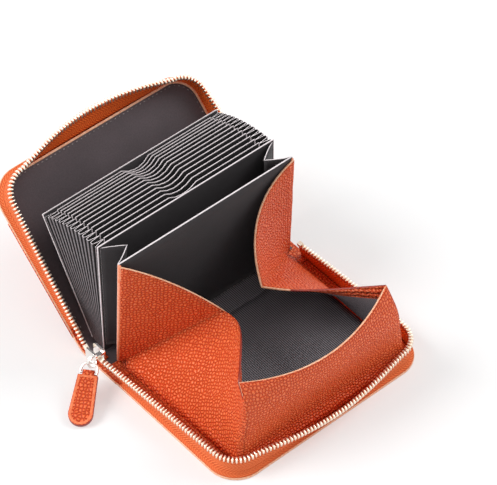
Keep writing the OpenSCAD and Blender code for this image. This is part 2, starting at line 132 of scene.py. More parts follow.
class Bench:
    """Node tree in which one finish, or the sky, is made."""

    def __init__(self, name: str, world: bpy.types.World | None = None) -> None:
        """Starts a material, or takes a world, that has only its shader."""
        self.owner = world or bpy.data.materials.new(name)
        self.owner.use_nodes = True
        self.tree = self.owner.node_tree
        self.shader = self.tree.nodes["Background" if world else "Principled BSDF"]

    def node(self, kind: str, settings: dict, inputs: dict) -> bpy.types.Node:
        """Adds a node.

        Args:
            kind: type of the node.
            settings: its settings, set first; "stops" are a ramp's stops.
            inputs: values or links of its sockets, by name or number.

        Returns:
            The new node.
        """
        made = self.tree.nodes.new(kind)
        for key, value in settings.items():
            if key == "stops":
                self._set_stops(made.color_ramp, value)
            else:
                setattr(made, key, value)
        for key, value in inputs.items():
            self.feed(made.inputs[key], value)
        return made

    @staticmethod
    def _set_stops(ramp: bpy.types.ColorRamp, stops: Sequence[tuple]) -> None:
        """Gives a ramp its stops, each a place and a colour."""
        while len(ramp.elements) < len(stops):
            ramp.elements.new(0.5)
        for element, (at, colour) in zip(ramp.elements, stops):
            element.position = at
            element.color = (*colour, 1.0)

    def feed(self, socket: bpy.types.NodeSocket, value: object) -> None:
        """Links a socket, or sets its value."""
        if isinstance(value, Wire):
            self.tree.links.new(value.socket, socket)
        elif isinstance(value, bpy.types.NodeSocket):
            self.tree.links.new(value, socket)
        elif isinstance(value, tuple) and len(value) == 3 and socket.type == "RGBA":
            socket.default_value = (*value, 1.0)
        else:
            socket.default_value = value

    def sum_of(self, kind: str, a: Wire | float, b: Wire | float) -> Wire:
        """Adds a Math node and returns its value."""
        made = self.node("ShaderNodeMath", {"operation": kind}, {0: a, 1: b})
        return Wire(self, made.outputs[0])

    def mixed(self, factor: Wire | float, a: object, b: object) -> bpy.types.NodeSocket:
        """Mixes two colours."""
        made = self.node("ShaderNodeMix", {"data_type": "RGBA"}, {0: factor, 6: a, 7: b})
        return made.outputs[2]

    def spread(self, value: Wire, low: float, high: float) -> Wire:
        """Stretches a value so that low gives 0 and high gives 1, smoothly."""
        made = self.node(
            "ShaderNodeMapRange",
            {"interpolation_type": "SMOOTHSTEP"},
            {"Value": value, "From Min": low, "From Max": high},
        )
        return Wire(self, made.outputs[0])

    def place(self) -> bpy.types.NodeSocket:
        """Place of a point on the object."""
        return self.node("ShaderNodeTexCoord", {}, {}).outputs["Object"]

    def cloth(self) -> tuple[Wire, Wire]:
        """Place along and across a piece of cloth, in metres."""
        mapped = self.node("ShaderNodeUVMap", {"uv_map": CLOTH_MAP}, {})
        parts = self.node("ShaderNodeSeparateXYZ", {}, {0: mapped.outputs[0]})
        return Wire(self, parts.outputs[0]), Wire(self, parts.outputs[1])

    def noise(self, where: object, scale: float, detail: float = 2.0) -> Wire:
        """Noise from 0 to 1."""
        made = self.node(
            "ShaderNodeTexNoise", {}, {"Vector": where, "Scale": scale, "Detail": detail}
        )
        return Wire(self, made.outputs[0])

    def cells(self, where: object, scale: float, spread: float) -> Wire:
        """Distance from the borders of rounded flat cells, which spread more or less evenly."""
        made = self.node(
            "ShaderNodeTexVoronoi",
            {"feature": "DISTANCE_TO_EDGE", "voronoi_dimensions": "2D"},
            {"Vector": where, "Scale": scale, "Randomness": spread},
        )
        return Wire(self, made.outputs["Distance"])

    def raised(self, height: Wire, depth_mm: float, strength: float) -> None:
        """Feeds the shader's normal from a height."""
        bump = self.node(
            "ShaderNodeBump",
            {},
            {"Height": height, "Distance": depth_mm * MM, "Strength": strength},
        )
        self.feed(self.shader.inputs["Normal"], bump.outputs[0])

    def dress(
        self, colour: object, rough: Wire, height: Wire, depth_mm: float, strength: float
    ) -> None:
        """Feeds the shader its colour, roughness and relief."""
        self.feed(self.shader.inputs["Base Color"], colour)
        self.feed(self.shader.inputs["Roughness"], rough)
        self.raised(height, depth_mm, strength)

    def seen(self) -> Wire:
        """1 for what the camera, a shiny or a clear surface sees, otherwise 0."""
        path = self.node("ShaderNodeLightPath", {}, {}).outputs
        rays = [Wire(self, path[f"Is {kind} Ray"]) for kind in ("Camera", "Glossy", "Transmission")]
        return sum(rays[1:], rays[0]).act("MINIMUM", 1.0)

    def plain(self, values: dict) -> None:
        """Sets constants on the shader's own sockets."""
        for key, value in values.items():
            self.feed(self.shader.inputs[key], value)


@dataclass(frozen=True)
class LeatherFinish:
    """Pebbled leather: round bumps, with painted shade in the creases between them and a painted
    highlight on their crowns.
    """

    name: str
    top: Colour = (0.92, 0.116, 0.017)
    # crease_shade is painted shade for the creases; crown is a painted highlight for the pebbles'
    # tops.
    crease_shade: Colour = (0.56, 0.040, 0.004)
    crown: Colour = (1.0, 0.30, 0.12)
    pebble: float = 1.75
    relief: float = 0.55
    strength: float = 0.9
    rough: float = 0.36
    wrinkle: float = 0.0
    slant: float = math.radians(33)
    scatter: float = 0.72
    drift: float = 0.7
    drift_scale: float = 420.0
    fine_scale: float = 4200.0
    wide_scale: float = 45.0
    fold: float = 2.6
    fold_drift: float = 4.0
    fold_scale: float = 90.0
    shine: float = 0.40

    def material(self) -> bpy.types.Material:
        """Makes the leather."""
        bench = Bench(self.name)
        where = bench.place()
        flat = bench.node("ShaderNodeUVMap", {"uv_map": CLOTH_MAP}, {}).outputs[0]
        drift = bench.node(
            "ShaderNodeTexNoise", {}, {"Vector": flat, "Scale": self.drift_scale, "Detail": 1.0}
        )
        shift = bench.node(
            "ShaderNodeVectorMath",
            {"operation": "MULTIPLY_ADD"},
            {0: drift.outputs["Color"], 1: (self.drift * MM,) * 3, 2: flat},
        ).outputs[0]
        border = bench.cells(shift, 1 / (self.pebble * MM), self.scatter)
        fine = bench.noise(where, self.fine_scale)
        wide = bench.noise(where, self.wide_scale)
        dome = bench.spread(border, -0.06, 0.40)
        height = dome + 0.06 * fine
        if self.wrinkle:
            along, across = bench.cloth()
            down = along * math.sin(self.slant) + across * math.cos(self.slant)
            down = down + bench.noise(where, self.fold_scale) * (self.fold_drift * MM)
            height = height + (down * (math.tau / (self.fold * MM))).act("SINE") * self.wrinkle
        # Painted shade: the colour darkens from the pebbles' tops into the creases between them.
        body = bench.mixed(bench.spread(dome + wide * 0.3, 0.12, 0.75), self.crease_shade, self.top)
        # Painted highlight: the pebbles' crowns are mixed towards the paler crown colour.
        highlight_share = bench.spread(dome + fine * 0.2, 0.6, 1.15) * 0.45
        rough = self.rough + 0.2 * (1 - dome) + 0.08 * fine
        colour = bench.mixed(highlight_share, body, self.crown)
        bench.dress(colour, rough, height, self.relief, self.strength)
        bench.plain({"Specular IOR Level": self.shine})
        return bench.owner


@dataclass(frozen=True)
class TapeFinish:
    """Woven zip tape: columns of slanting ribs that change direction."""

    name: str
    light: Colour = (1.0, 0.185, 0.028)
    dark: Colour = (0.70, 0.066, 0.009)
    column: float = 2.4
    rib: float = 1.5
    lean: float = 1.6
    relief: float = 0.16
    strength: float = 0.7
    rough: float = 0.62
    fuzz_scale: float = 2400.0

    def material(self) -> bpy.types.Material:
        """Makes the woven tape."""
        bench = Bench(self.name)
        along, across = bench.cloth()
        wave = (across / (self.column * MM)).act("PINGPONG", 1.0)
        slant = along / (self.rib * MM) + wave * self.lean
        ribs = (slant * math.tau).act("SINE") * 0.5 + 0.5
        seams = bench.spread((wave - 0.5).act("ABSOLUTE"), 0.38, 0.5)
        fuzz = bench.noise(bench.place(), self.fuzz_scale)
        height = ribs * (1 - 0.6 * seams) + 0.25 * fuzz
        colour = bench.mixed(bench.spread(height, 0.05, 1.0), self.dark, self.light)
        bench.dress(colour, self.rough + 0.2 * fuzz, height, self.relief, self.strength)
        bench.plain({"Specular IOR Level": 0.2})
        return bench.owner


@dataclass(frozen=True)
class WeaveFinish:
    """Plain weave: threads that pass over and under each other."""

    name: str
    light: Colour
    dark: Colour
    thread: float = 0.55
    relief: float = 0.06
    rough: float = 0.72
    strength: float = 0.5
    fuzz_scale: float = 1500.0
    wide_scale: float = 60.0

    def material(self) -> bpy.types.Material:
        """Makes the woven cloth."""
        bench = Bench(self.name)
        along, across = bench.cloth()
        turns = math.tau / (self.thread * MM)
        cross = (along * turns).act("SINE") * (across * turns).act("SINE") * 0.5 + 0.5
        fuzz = bench.noise(bench.place(), self.fuzz_scale, 3.0)
        wide = bench.noise(bench.place(), self.wide_scale)
        tone = cross * 0.4 + fuzz * 0.35 + wide * 0.25
        colour = bench.mixed(bench.spread(tone, 0.15, 0.85), self.dark, self.light)
        height = cross + 0.5 * fuzz
        bench.dress(colour, self.rough + 0.12 * fuzz, height, self.relief, self.strength)
        bench.plain({"Sheen Weight": 0.15, "Sheen Roughness": 0.4})
        return bench.owner


@dataclass(frozen=True)
class RibFinish:
    """Ribbed cloth with fine cords that run one way, a lit tone painted on the cords and painted
    shade in the grooves.
    """

    name: str
    # light is the cloth's lit tone and dark its shaded tone: painted light and shade.
    light: Colour = (0.40, 0.365, 0.39)
    dark: Colour = (0.050, 0.045, 0.051)
    rib: float = 0.93
    tie: float = 0.55
    relief: float = 0.12
    strength: float = 0.6
    rough: float = 0.6
    fuzz_scale: float = 1800.0

    def material(self) -> bpy.types.Material:
        """Makes the ribbed cloth."""
        bench = Bench(self.name)
        along, across = bench.cloth()
        ribs = (along * (math.tau / (self.rib * MM))).act("SINE") * 0.5 + 0.5
        ties = (across * (math.tau / (self.tie * MM))).act("SINE") * 0.5 + 0.5
        fuzz = bench.noise(bench.place(), self.fuzz_scale)
        height = ribs + 0.2 * ties
        tone = ribs * 0.7 + ties * 0.1 + fuzz * 0.3
        # Painted light and shade: rib tops take the lit tone, grooves the shaded tone.
        colour = bench.mixed(bench.spread(tone, 0.2, 0.9), self.dark, self.light)
        bench.dress(colour, self.rough + 0.15 * fuzz, height, self.relief, self.strength)
        return bench.owner


@dataclass(frozen=True)
class MetalFinish:
    """Bright plated metal with faint wear."""

    name: str
    bright: Colour = (0.97, 0.87, 0.74)
    worn: Colour = (0.88, 0.66, 0.48)
    rough: float = 0.30
    relief: float = 0.02
    strength: float = 0.25
    wear_scale: float = 260.0
    fine_scale: float = 2500.0

    def material(self) -> bpy.types.Material:
        """Makes the metal."""
        bench = Bench(self.name)
        where = bench.place()
        wear = bench.spread(bench.noise(where, self.wear_scale, 3.0), 0.35, 0.75)
        fine = bench.noise(where, self.fine_scale)
        colour = bench.mixed(wear * 0.5, self.bright, self.worn)
        rough = self.rough + 0.12 * wear + 0.06 * fine
        bench.dress(colour, rough, fine, self.relief, self.strength)
        bench.plain({"Metallic": 1.0})
        return bench.owner


@dataclass(frozen=True)
class EdgeFinish:
    """Cut or dark edge, thread or board: one colour with fine grain."""

    name: str
    light: Colour
    dark: Colour
    rough: float = 0.5
    grain: float = 900.0
    relief: float = 0.05
    strength: float = 0.4

    def material(self) -> bpy.types.Material:
        """Makes the plain finish."""
        bench = Bench(self.name)
        grain = bench.noise(bench.place(), self.grain, 3.0)
        colour = bench.mixed(bench.spread(grain, 0.3, 0.7), self.dark, self.light)
        bench.dress(colour, self.rough + 0.15 * grain, grain, self.relief, self.strength)
        return bench.owner


class Look(Enum):
    """Finishes of this wallet."""

    LEATHER = LeatherFinish("pebbled_leather")
    SOFT_LEATHER = LeatherFinish(
        "soft_pebbled_leather", (0.92, 0.114, 0.016), (0.56, 0.040, 0.004), pebble=1.6
    )
    HEM = LeatherFinish(
        "folded_leather_hem", (0.82, 0.100, 0.016), (0.50, 0.036, 0.004), pebble=1.6, wrinkle=0.9
    )
    TAPE = TapeFinish("zip_tape_weave")
    TAPE_BACK = TapeFinish("zip_tape_back", (0.92, 0.22, 0.070), (0.66, 0.095, 0.022))
    LINING = WeaveFinish("dark_lining", (0.128, 0.098, 0.108), (0.047, 0.036, 0.040))
    # Card cloth: its own dark charcoal, made darker still as painted shade for the panels and walls
    # inside the wallet.
    CARD = WeaveFinish("card_cloth", (0.052, 0.044, 0.048), (0.014, 0.012, 0.013))
    FLOOR = RibFinish("ribbed_floor")
    METAL = MetalFinish("plated_metal")
    BRIGHT = MetalFinish("polished_metal", (0.95, 0.93, 0.90), (0.80, 0.76, 0.72), 0.12)
    RAW_EDGE = EdgeFinish("leather_edge", (0.98, 0.62, 0.42), (0.88, 0.38, 0.20))
    # Dark edge colour, on the pull's sides and on the gussets' rims past dark_from.
    DARK_EDGE = EdgeFinish("dark_leather_edge", (0.36, 0.030, 0.010), (0.24, 0.018, 0.007), 0.35)
    # Pale edge of cards, walls and pleats: partly the cut edge's own colour, partly painted
    # highlight.
    PALE_EDGE = EdgeFinish("card_edge_and_highlight", (0.95, 0.87, 0.89), (0.80, 0.73, 0.75))
    # Painted shade: a much darker copy of the card cloth, for the dividers and pleats deep in the
    # fan.
    DEEP_CARD = WeaveFinish("shaded_card_cloth", (0.014, 0.012, 0.013), (0.004, 0.003, 0.003))
    # Pleat crest colour: partly the fold's pale line, partly painted highlight.
    GREY_FOLD = EdgeFinish("pleat_fold_and_highlight", (0.21, 0.185, 0.195), (0.14, 0.12, 0.13))
    # Pull's border band: partly its smooth unpebbled leather, partly painted highlight in its paler
    # colour.
    BORDER = EdgeFinish("smooth_leather_highlight", (0.94, 0.26, 0.10), (0.82, 0.16, 0.05), 0.4)
    BINDING = EdgeFinish("turned_leather", (0.96, 0.40, 0.24), (0.88, 0.24, 0.10), 0.45)
    THREAD = EdgeFinish("orange_thread", (0.62, 0.075, 0.014), (0.36, 0.032, 0.006), 0.5, 3000.0)
    # The pale flecks mixed into the dark thread stand in for glints: painted highlight.
    DARK_THREAD = EdgeFinish("dark_thread", (0.42, 0.38, 0.38), (0.10, 0.09, 0.09), 0.4, 900.0)
    BOARD = EdgeFinish("stiffener_board", (0.35, 0.28, 0.20), (0.26, 0.20, 0.14), 0.7)

    def cloth(self) -> bpy.types.Material:
        """The finish's material, made once."""
        found = bpy.data.materials.get(self.value.name)
        return found or self.value.material()


def mid(a: Vector, b: Vector, share: float) -> Vector:
    """Point on the way from a to b."""
    return a + (b - a) * share


def curve_3(a: Vector, b: Vector, c: Vector, share: float) -> Vector:
    """Point of the curve that leaves a towards b and arrives at c."""
    return mid(mid(a, b, share), mid(b, c, share), share)


@dataclass(frozen=True)
class Plan:
    """Sizes of the solids, some that the looks share, and the places that they give."""

    wallet_w: float = 112.0
    cover_h: float = 80.0
    corner_r: float = 14.0
    leather_t: float = 1.4
    board_t: float = 0.9
    lining_t: float = 0.5
    lining_inset: float = 3.0
    spine_w: float = 25.0
    bend_r: float = 13.0
    cover_angle: float = math.radians(42.0)
    tape_h: float = 9.5
    tape_t: float = 0.7
    tape_inset: float = 2.0
    tail: float = 5.5
    tail_cut: float = 1.1
    tail_share: float = 0.78
    tooth_pitch: float = 1.7
    stop_len: float = 2.4
    panel_h: float = 66.0
    panel_w: float = 98.0
    pleat_d: float = 5.6
    fan_steps: int = 14
    front_angle: float = math.radians(89.6)
    back_angle: float = math.radians(59.9)
    fan_base: float = 5.8
    coin_h: float = 66.0
    coin_w: float = 96.0
    coin_angle: float = math.radians(93.5)
    coin_y: float = 45.3
    pouch_t: float = 0.9
    front_h: float = 43.5
    base_z: float = 3.75
    wall_y: float = -35.95
    floor_w: float = 94.0
    floor_t: float = 0.4
    axis_share: float = 0.68
    foot_gap: float = 0.45

    @property
    def stack_t(self) -> float:
        """Height of a cover's layers."""
        return self.leather_t + self.board_t + self.lining_t

    @property
    def flat(self) -> float:
        """Flat length of the spine before it bends."""
        return self.spine_w - self.bend_r * self.cover_angle

    @property
    def bend_y(self) -> float:
        """Y where the spine starts to bend."""
        return self.cover_h / 2 + self.flat

    def on_lower(self) -> Matrix:
        """From a cover's own plan to the lower cover."""
        flip = Matrix.Diagonal((1.0, -1.0, 1.0, 1.0))
        return Matrix.Translation((0, self.cover_h / 2, 0)) @ flip

    def on_upper(self) -> Matrix:
        """From a cover's own plan to the upper cover."""
        foot_y = self.bend_y + self.bend_r * math.sin(self.cover_angle)
        foot_z = self.bend_r * (1 - math.cos(self.cover_angle))
        return Matrix.Translation((0, foot_y, foot_z)) @ Matrix.Rotation(self.cover_angle, 4, "X")

    def spine_at(self, s: float, depth: float) -> Vector:
        """Point of the spine's section.

        Args:
            s: distance along the outer face from the lower cover.
            depth: distance inwards from the outer face.

        Returns:
            The point, with X 0.
        """
        run = s - self.flat
        if run <= 0:
            return Vector((0, self.cover_h / 2 + s, depth))
        turn = min(run / self.bend_r, self.cover_angle)
        past = max(0.0, run - self.bend_r * self.cover_angle)
        r = self.bend_r - depth
        return Vector(
            (
                0,
                self.bend_y + r * math.sin(turn) + past * math.cos(turn),
                self.bend_r - r * math.cos(turn) + past * math.sin(turn),
            )
        )

    def fan_angle(self, q: float) -> float:
        """Angle of a card panel, counted from the back panel."""
        return self.back_angle + q * (self.front_angle - self.back_angle) / self.fan_steps

    def fan_point(self, x: float, q: float, r: float, lift: float = 0.0) -> Vector:
        """Point on a card panel.

        Args:
            x: place along the spine.
            q: number of the panel, 0 for the back panel.
            r: distance up the panel.
            lift: distance off the panel, towards the coin pouch.

        Returns:
            The point.
        """
        a = self.fan_angle(q)
        d = q * self.fan_base / self.fan_steps - self.fan_base / 2 + lift
        axis_y = self.cover_h / 2 + self.spine_w * self.axis_share
        axis_z = self.leather_t + self.lining_t
        return Vector(
            (
                x,
                axis_y + r * math.cos(a) - d * math.sin(a),
                axis_z + r * math.sin(a) + d * math.cos(a),
            )
        )

    def fan_foot(self, q: float) -> float:
        """Distance up a panel at which it clears the spine's lining."""
        r = 0.0
        for _ in range(8):
            here = self.fan_point(0, q, r)
            inner = self.bend_r - self.leather_t - self.lining_t
            over = min(max(here.y - self.bend_y, 0.0), inner * 0.99)
            top = self.bend_r - math.sqrt(inner * inner - over * over)
            r += (top + self.foot_gap - here.z) / math.sin(self.fan_angle(q))
        return r

    def coin_point(self, x: float, r: float, lift: float) -> Vector:
        """Point on the coin wall: r up it, lift off it towards the pouch."""
        a = self.coin_angle
        return Vector(
            (
                x,
                self.coin_y + r * math.cos(a) - lift * math.sin(a),
                self.leather_t + self.lining_t + r * math.sin(a) + lift * math.cos(a),
            )
        )


PLAN = Plan()


@dataclass(frozen=True)
class Rim:
    """One half of a zip's path round a cover."""

    tail: float
    lean: float
    edge_lean: float
    fade: float

    @property
    def run(self) -> float:
        """Length of the straight side with its tail."""
        return PLAN.cover_h - PLAN.corner_r + self.tail

    @property
    def arc(self) -> float:
        """Length round the corner."""
        return (PLAN.corner_r - PLAN.tape_inset) * math.pi / 2

    @property
    def edge(self) -> float:
        """Length of the whole free edge between the corners."""
        return PLAN.wallet_w - 2 * PLAN.corner_r

    @property
    def length(self) -> float:
        """Length of this half."""
        return self.run + self.arc + self.edge / 2

    def stand(self, s: float, upright: bool = False) -> Matrix:
        """Frame of the tape at a distance from its end.

        Args:
            s: distance from the tape's end.
            upright: whether the tape's lean is left out.

        Returns:
            The frame, in which Z runs up the tape.
        """
        foot = PLAN.wallet_w / 2 - PLAN.tape_inset
        r = PLAN.corner_r - PLAN.tape_inset
        if s < self.run:
            fade = max(0.0, 1 - s / self.run) ** self.fade
            x, y, turn, lean = -foot, s - self.tail, 0.0, self.lean * fade
        elif s < self.run + self.arc:
            turn = (s - self.run) / self.arc * math.pi / 2
            x = r - foot - r * math.cos(turn)
            y = PLAN.cover_h - PLAN.corner_r + r * math.sin(turn)
            lean = 0.0
        else:
            share = (s - self.run - self.arc) / self.edge
            x, y = r - foot + share * self.edge, PLAN.cover_h - PLAN.tape_inset
            turn, lean = math.pi / 2, self.edge_lean * math.sin(math.pi * share)
        tilt = 0.0 if upright else math.radians(lean)
        lift = PLAN.tape_t / 2 * math.sin(abs(tilt))
        return (
            Matrix.Translation((x, y, PLAN.leather_t + lift))
            @ Matrix.Rotation(-turn, 4, "Z")
            @ Matrix.Rotation(-tilt, 4, "Y")
        )

    def low(self, s: float) -> float:
        """Height at which the tape starts: past the spine only its rim runs on."""
        return PLAN.tail_share * PLAN.tape_h if s < self.tail else 0.0


class Maker:
    """Turns a bmesh in millimetres into a finished piece in metres."""

    @staticmethod
    def grid(cols: int, rows: int, place: Place, flat: tuple[float, float]) -> bmesh.types.BMesh:
        """Makes a sheet.

        Args:
            cols: faces across.
            rows: faces up.
            place: gives the point for two shares from 0 to 1.
            flat: width and length of the cloth, for the weave.

        Returns:
            The sheet as a bmesh.
        """
        bm = bmesh.new()
        uv = bm.loops.layers.uv.new(CLOTH_MAP)
        bmesh.ops.create_grid(bm, x_segments=cols, y_segments=rows, size=0.5)
        low = Vector((min(v.co.x for v in bm.verts), min(v.co.y for v in bm.verts)))
        high = Vector((max(v.co.x for v in bm.verts), max(v.co.y for v in bm.verts)))
        shares = {
            v: ((v.co.x - low.x) / (high.x - low.x), (v.co.y - low.y) / (high.y - low.y))
            for v in bm.verts
        }
        for face in bm.faces:
            for loop in face.loops:
                a, b = shares[loop.vert]
                loop[uv].uv = (a * flat[0] * MM, b * flat[1] * MM)
        for vert, (a, b) in shares.items():
            vert.co = place(a, b)
        return bm

    @staticmethod
    def flat_map(bm: bmesh.types.BMesh, along: Sequence[float] = (1.0, 0.0, 0.0)) -> None:
        """Lays the cloth map on a piece, its width along a direction and its length along Y."""
        way = Vector(along)
        uv = bm.loops.layers.uv.get(CLOTH_MAP) or bm.loops.layers.uv.new(CLOTH_MAP)
        for face in bm.faces:
            for loop in face.loops:
                loop[uv].uv = (loop.vert.co.dot(way) * MM, loop.vert.co.y * MM)

    @staticmethod
    def on_map(bm: bmesh.types.BMesh, face: bmesh.types.BMFace) -> Vector:
        """Middle of a face on the cloth map, in millimetres."""
        uv = bm.loops.layers.uv.get(CLOTH_MAP)
        return sum((loop[uv].uv for loop in face.loops), Vector((0, 0))) / len(face.loops) / MM

    @staticmethod
    def raise_up(bm: bmesh.types.BMesh, t: float) -> None:
        """Gives a flat outline its thickness, upwards."""
        grown = bmesh.ops.extrude_face_region(bm, geom=bm.faces[:])
        up = [g for g in grown["geom"] if isinstance(g, bmesh.types.BMVert)]
        bmesh.ops.translate(bm, vec=(0, 0, t), verts=up)

    @staticmethod
    def bevel(
        bm: bmesh.types.BMesh, geom: list, width: float, segments: int, affect: str = "EDGES"
    ) -> None:
        """Rounds edges or corners to part of a circle."""
        bmesh.ops.bevel(
            bm,
            geom=geom,
            offset=width,
            segments=segments,
            profile=0.5,
            affect=affect,
            material=-1,
        )

    @staticmethod
    def unroll(bm: bmesh.types.BMesh, cols: int, place: Place) -> None:
        """Lays the cloth map of a ruled sheet out flat, ruling by ruling.

        Args:
            bm: a sheet from grid(), still with its even map.
            cols: faces across.
            place: the function that placed it.
        """

        def meet(p: Vector, q: Vector, far_p: float, far_q: float) -> Vector:
            """Flat point right of the line pq at two distances."""
            way = q - p
            share = (far_p**2 - far_q**2 + way.length_squared) / (2 * way.length)
            off = math.sqrt(max(0.0, far_p**2 - share**2))
            way.normalize()
            return p + way * share + Vector((way.y, -way.x)) * off

        lines = [(place(i / cols, 0), place(i / cols, 1)) for i in range(cols + 1)]
        flat = [(Vector((0, 0)), Vector((0, (lines[0][1] - lines[0][0]).length)))]
        for (foot, rim), (next_foot, next_rim) in zip(lines, lines[1:]):
            low, high = flat[-1]
            new_low = meet(low, high, (next_foot - foot).length, (next_foot - rim).length)
            new_high = meet(
                new_low, high, (next_rim - next_foot).length, (next_rim - rim).length
            )
            flat.append((new_low, new_high))
        uv = bm.loops.layers.uv.get(CLOTH_MAP)
        loops = [loop for face in bm.faces for loop in face.loops]
        wide = max(loop[uv].uv.x for loop in loops)
        high = max(loop[uv].uv.y for loop in loops)
        for loop in loops:
            low, top = flat[round(loop[uv].uv.x / wide * cols)]
            loop[uv].uv = (low + (top - low) * (loop[uv].uv.y / high)) * MM

    @staticmethod
    def piece(
        bm: bmesh.types.BMesh,
        name: str,
        looks: Sequence[Look],
        outward: bool = False,
        smooth: bool = True,
    ) -> bpy.types.Object:
        """Makes the object.

        Args:
            bm: the mesh in millimetres, freed here.
            name: name of the piece.
            looks: its finishes, in the order of the faces' numbers.
            outward: whether a closed mesh gets its normals worked out again.
            smooth: whether the faces are shaded smoothly.

        Returns:
            The object, at the origin.
        """
        if outward:
            bmesh.ops.recalc_face_normals(bm, faces=bm.faces)
        bmesh.ops.scale(bm, vec=(MM, MM, MM), verts=bm.verts)
        mesh = bpy.data.meshes.new(name)
        for face in bm.faces:
            face.smooth = smooth
        bm.to_mesh(mesh)
        bm.free()
        for look in looks:
            mesh.materials.append(look.cloth())
        made = bpy.data.objects.new(name, mesh)
        bpy.context.scene.collection.objects.link(made)
        return made

    @staticmethod
    def thicken(
        made: bpy.types.Object, t: float, inner: int = 0, rim: int = 0, offset: float = 0.0
    ) -> bpy.types.Object:
        """Gives a sheet its thickness, with other finishes inside and at its rim."""
        wall = made.modifiers.new("wall", "SOLIDIFY")
        wall.thickness = t * MM
        wall.offset = offset
        wall.use_even_offset = False
        wall.material_offset = inner
        wall.material_offset_rim = rim
        return made

    @staticmethod
    def soften(made: bpy.types.Object, width: float) -> bpy.types.Object:
        """Rounds the sharp edges."""
        round_off = made.modifiers.new("round", "BEVEL")
        round_off.width = width * MM
        round_off.segments = 2
        round_off.limit_method = "ANGLE"
        round_off.angle_limit = math.radians(40)
        round_off.harden_normals = False
        return made

    @staticmethod
    def blocks(places: Iterable[Matrix], size: Vector, round_off: float) -> bmesh.types.BMesh:
        """Makes a row of small rounded blocks.

        Args:
            places: middle and direction of each block.
            size: its size along its own axes.
            round_off: width of its rounded edges.

        Returns:
            One bmesh with all the blocks.
        """
        bm = bmesh.new()
        scale = Matrix.Diagonal((*size, 1.0))
        for place in places:
            bmesh.ops.create_cube(bm, size=1.0, matrix=place @ scale)
        Maker.bevel(bm, bm.edges[:], round_off, 1)
        return bm

    @staticmethod
    def dress(node: str, look: Look) -> None:
        """Gives a solid that stays in sight its finish."""
        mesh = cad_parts[node].data
        mesh.materials.clear()
        mesh.materials.append(look.cloth())

    @staticmethod
    def settle(made: bpy.types.Object, body: str, slot: str, *nodes: str) -> None:
        """Lets a piece ride on a body and stand for solids."""
        if nodes:
            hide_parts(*nodes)
        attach(made, body)
        log.info("%s rides on %s", made.name, body)

    @staticmethod
    def bend(
        made: bpy.types.Object, ends: tuple[str, str], start: Vector, end: Vector, slot: str,
        *nodes: str,
    ) -> None:
        """Fixes a piece where it lies, in world space, and hides the solids it stands for."""
        if nodes:
            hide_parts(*nodes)
        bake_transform(made)
        log.info("%s bends between %s and %s", made.name, *ends)


@dataclass
class Stitching:
    """A row of stitches along a line."""

    name: str
    look: Look = Look.THREAD
    length: float = 1.9
    gap: float = 0.8
    width: float = 0.42
    height: float = 0.34
    round_off: float = 0.12

    def row(self, line: Sequence[Vector], up: Callable[[Vector], Vector]) -> bpy.types.Object:
        """Sews along a line.

        Args:
            line: points of the line, in millimetres.
            up: gives the direction away from the cloth at a point.

        Returns:
            The row of stitches.
        """
        places: list[Matrix] = []
        wait = self.gap / 2 + self.length / 2
        for a, b in zip(line, line[1:]):
            step = b - a
            while wait <= step.length:
                at = a + step.normalized() * wait
                x = step.normalized()
                z = up(at)
                y = z.cross(x).normalized()
                turn = Matrix((x, y, x.cross(y))).transposed().to_4x4()
                places.append(Matrix.Translation(at) @ turn)
                wait += self.length + self.gap
            wait -= step.length
        size = Vector((self.length, self.width, self.height))
        bm = Maker.blocks(places, size, self.round_off)
        return Maker.piece(bm, self.name, [self.look])


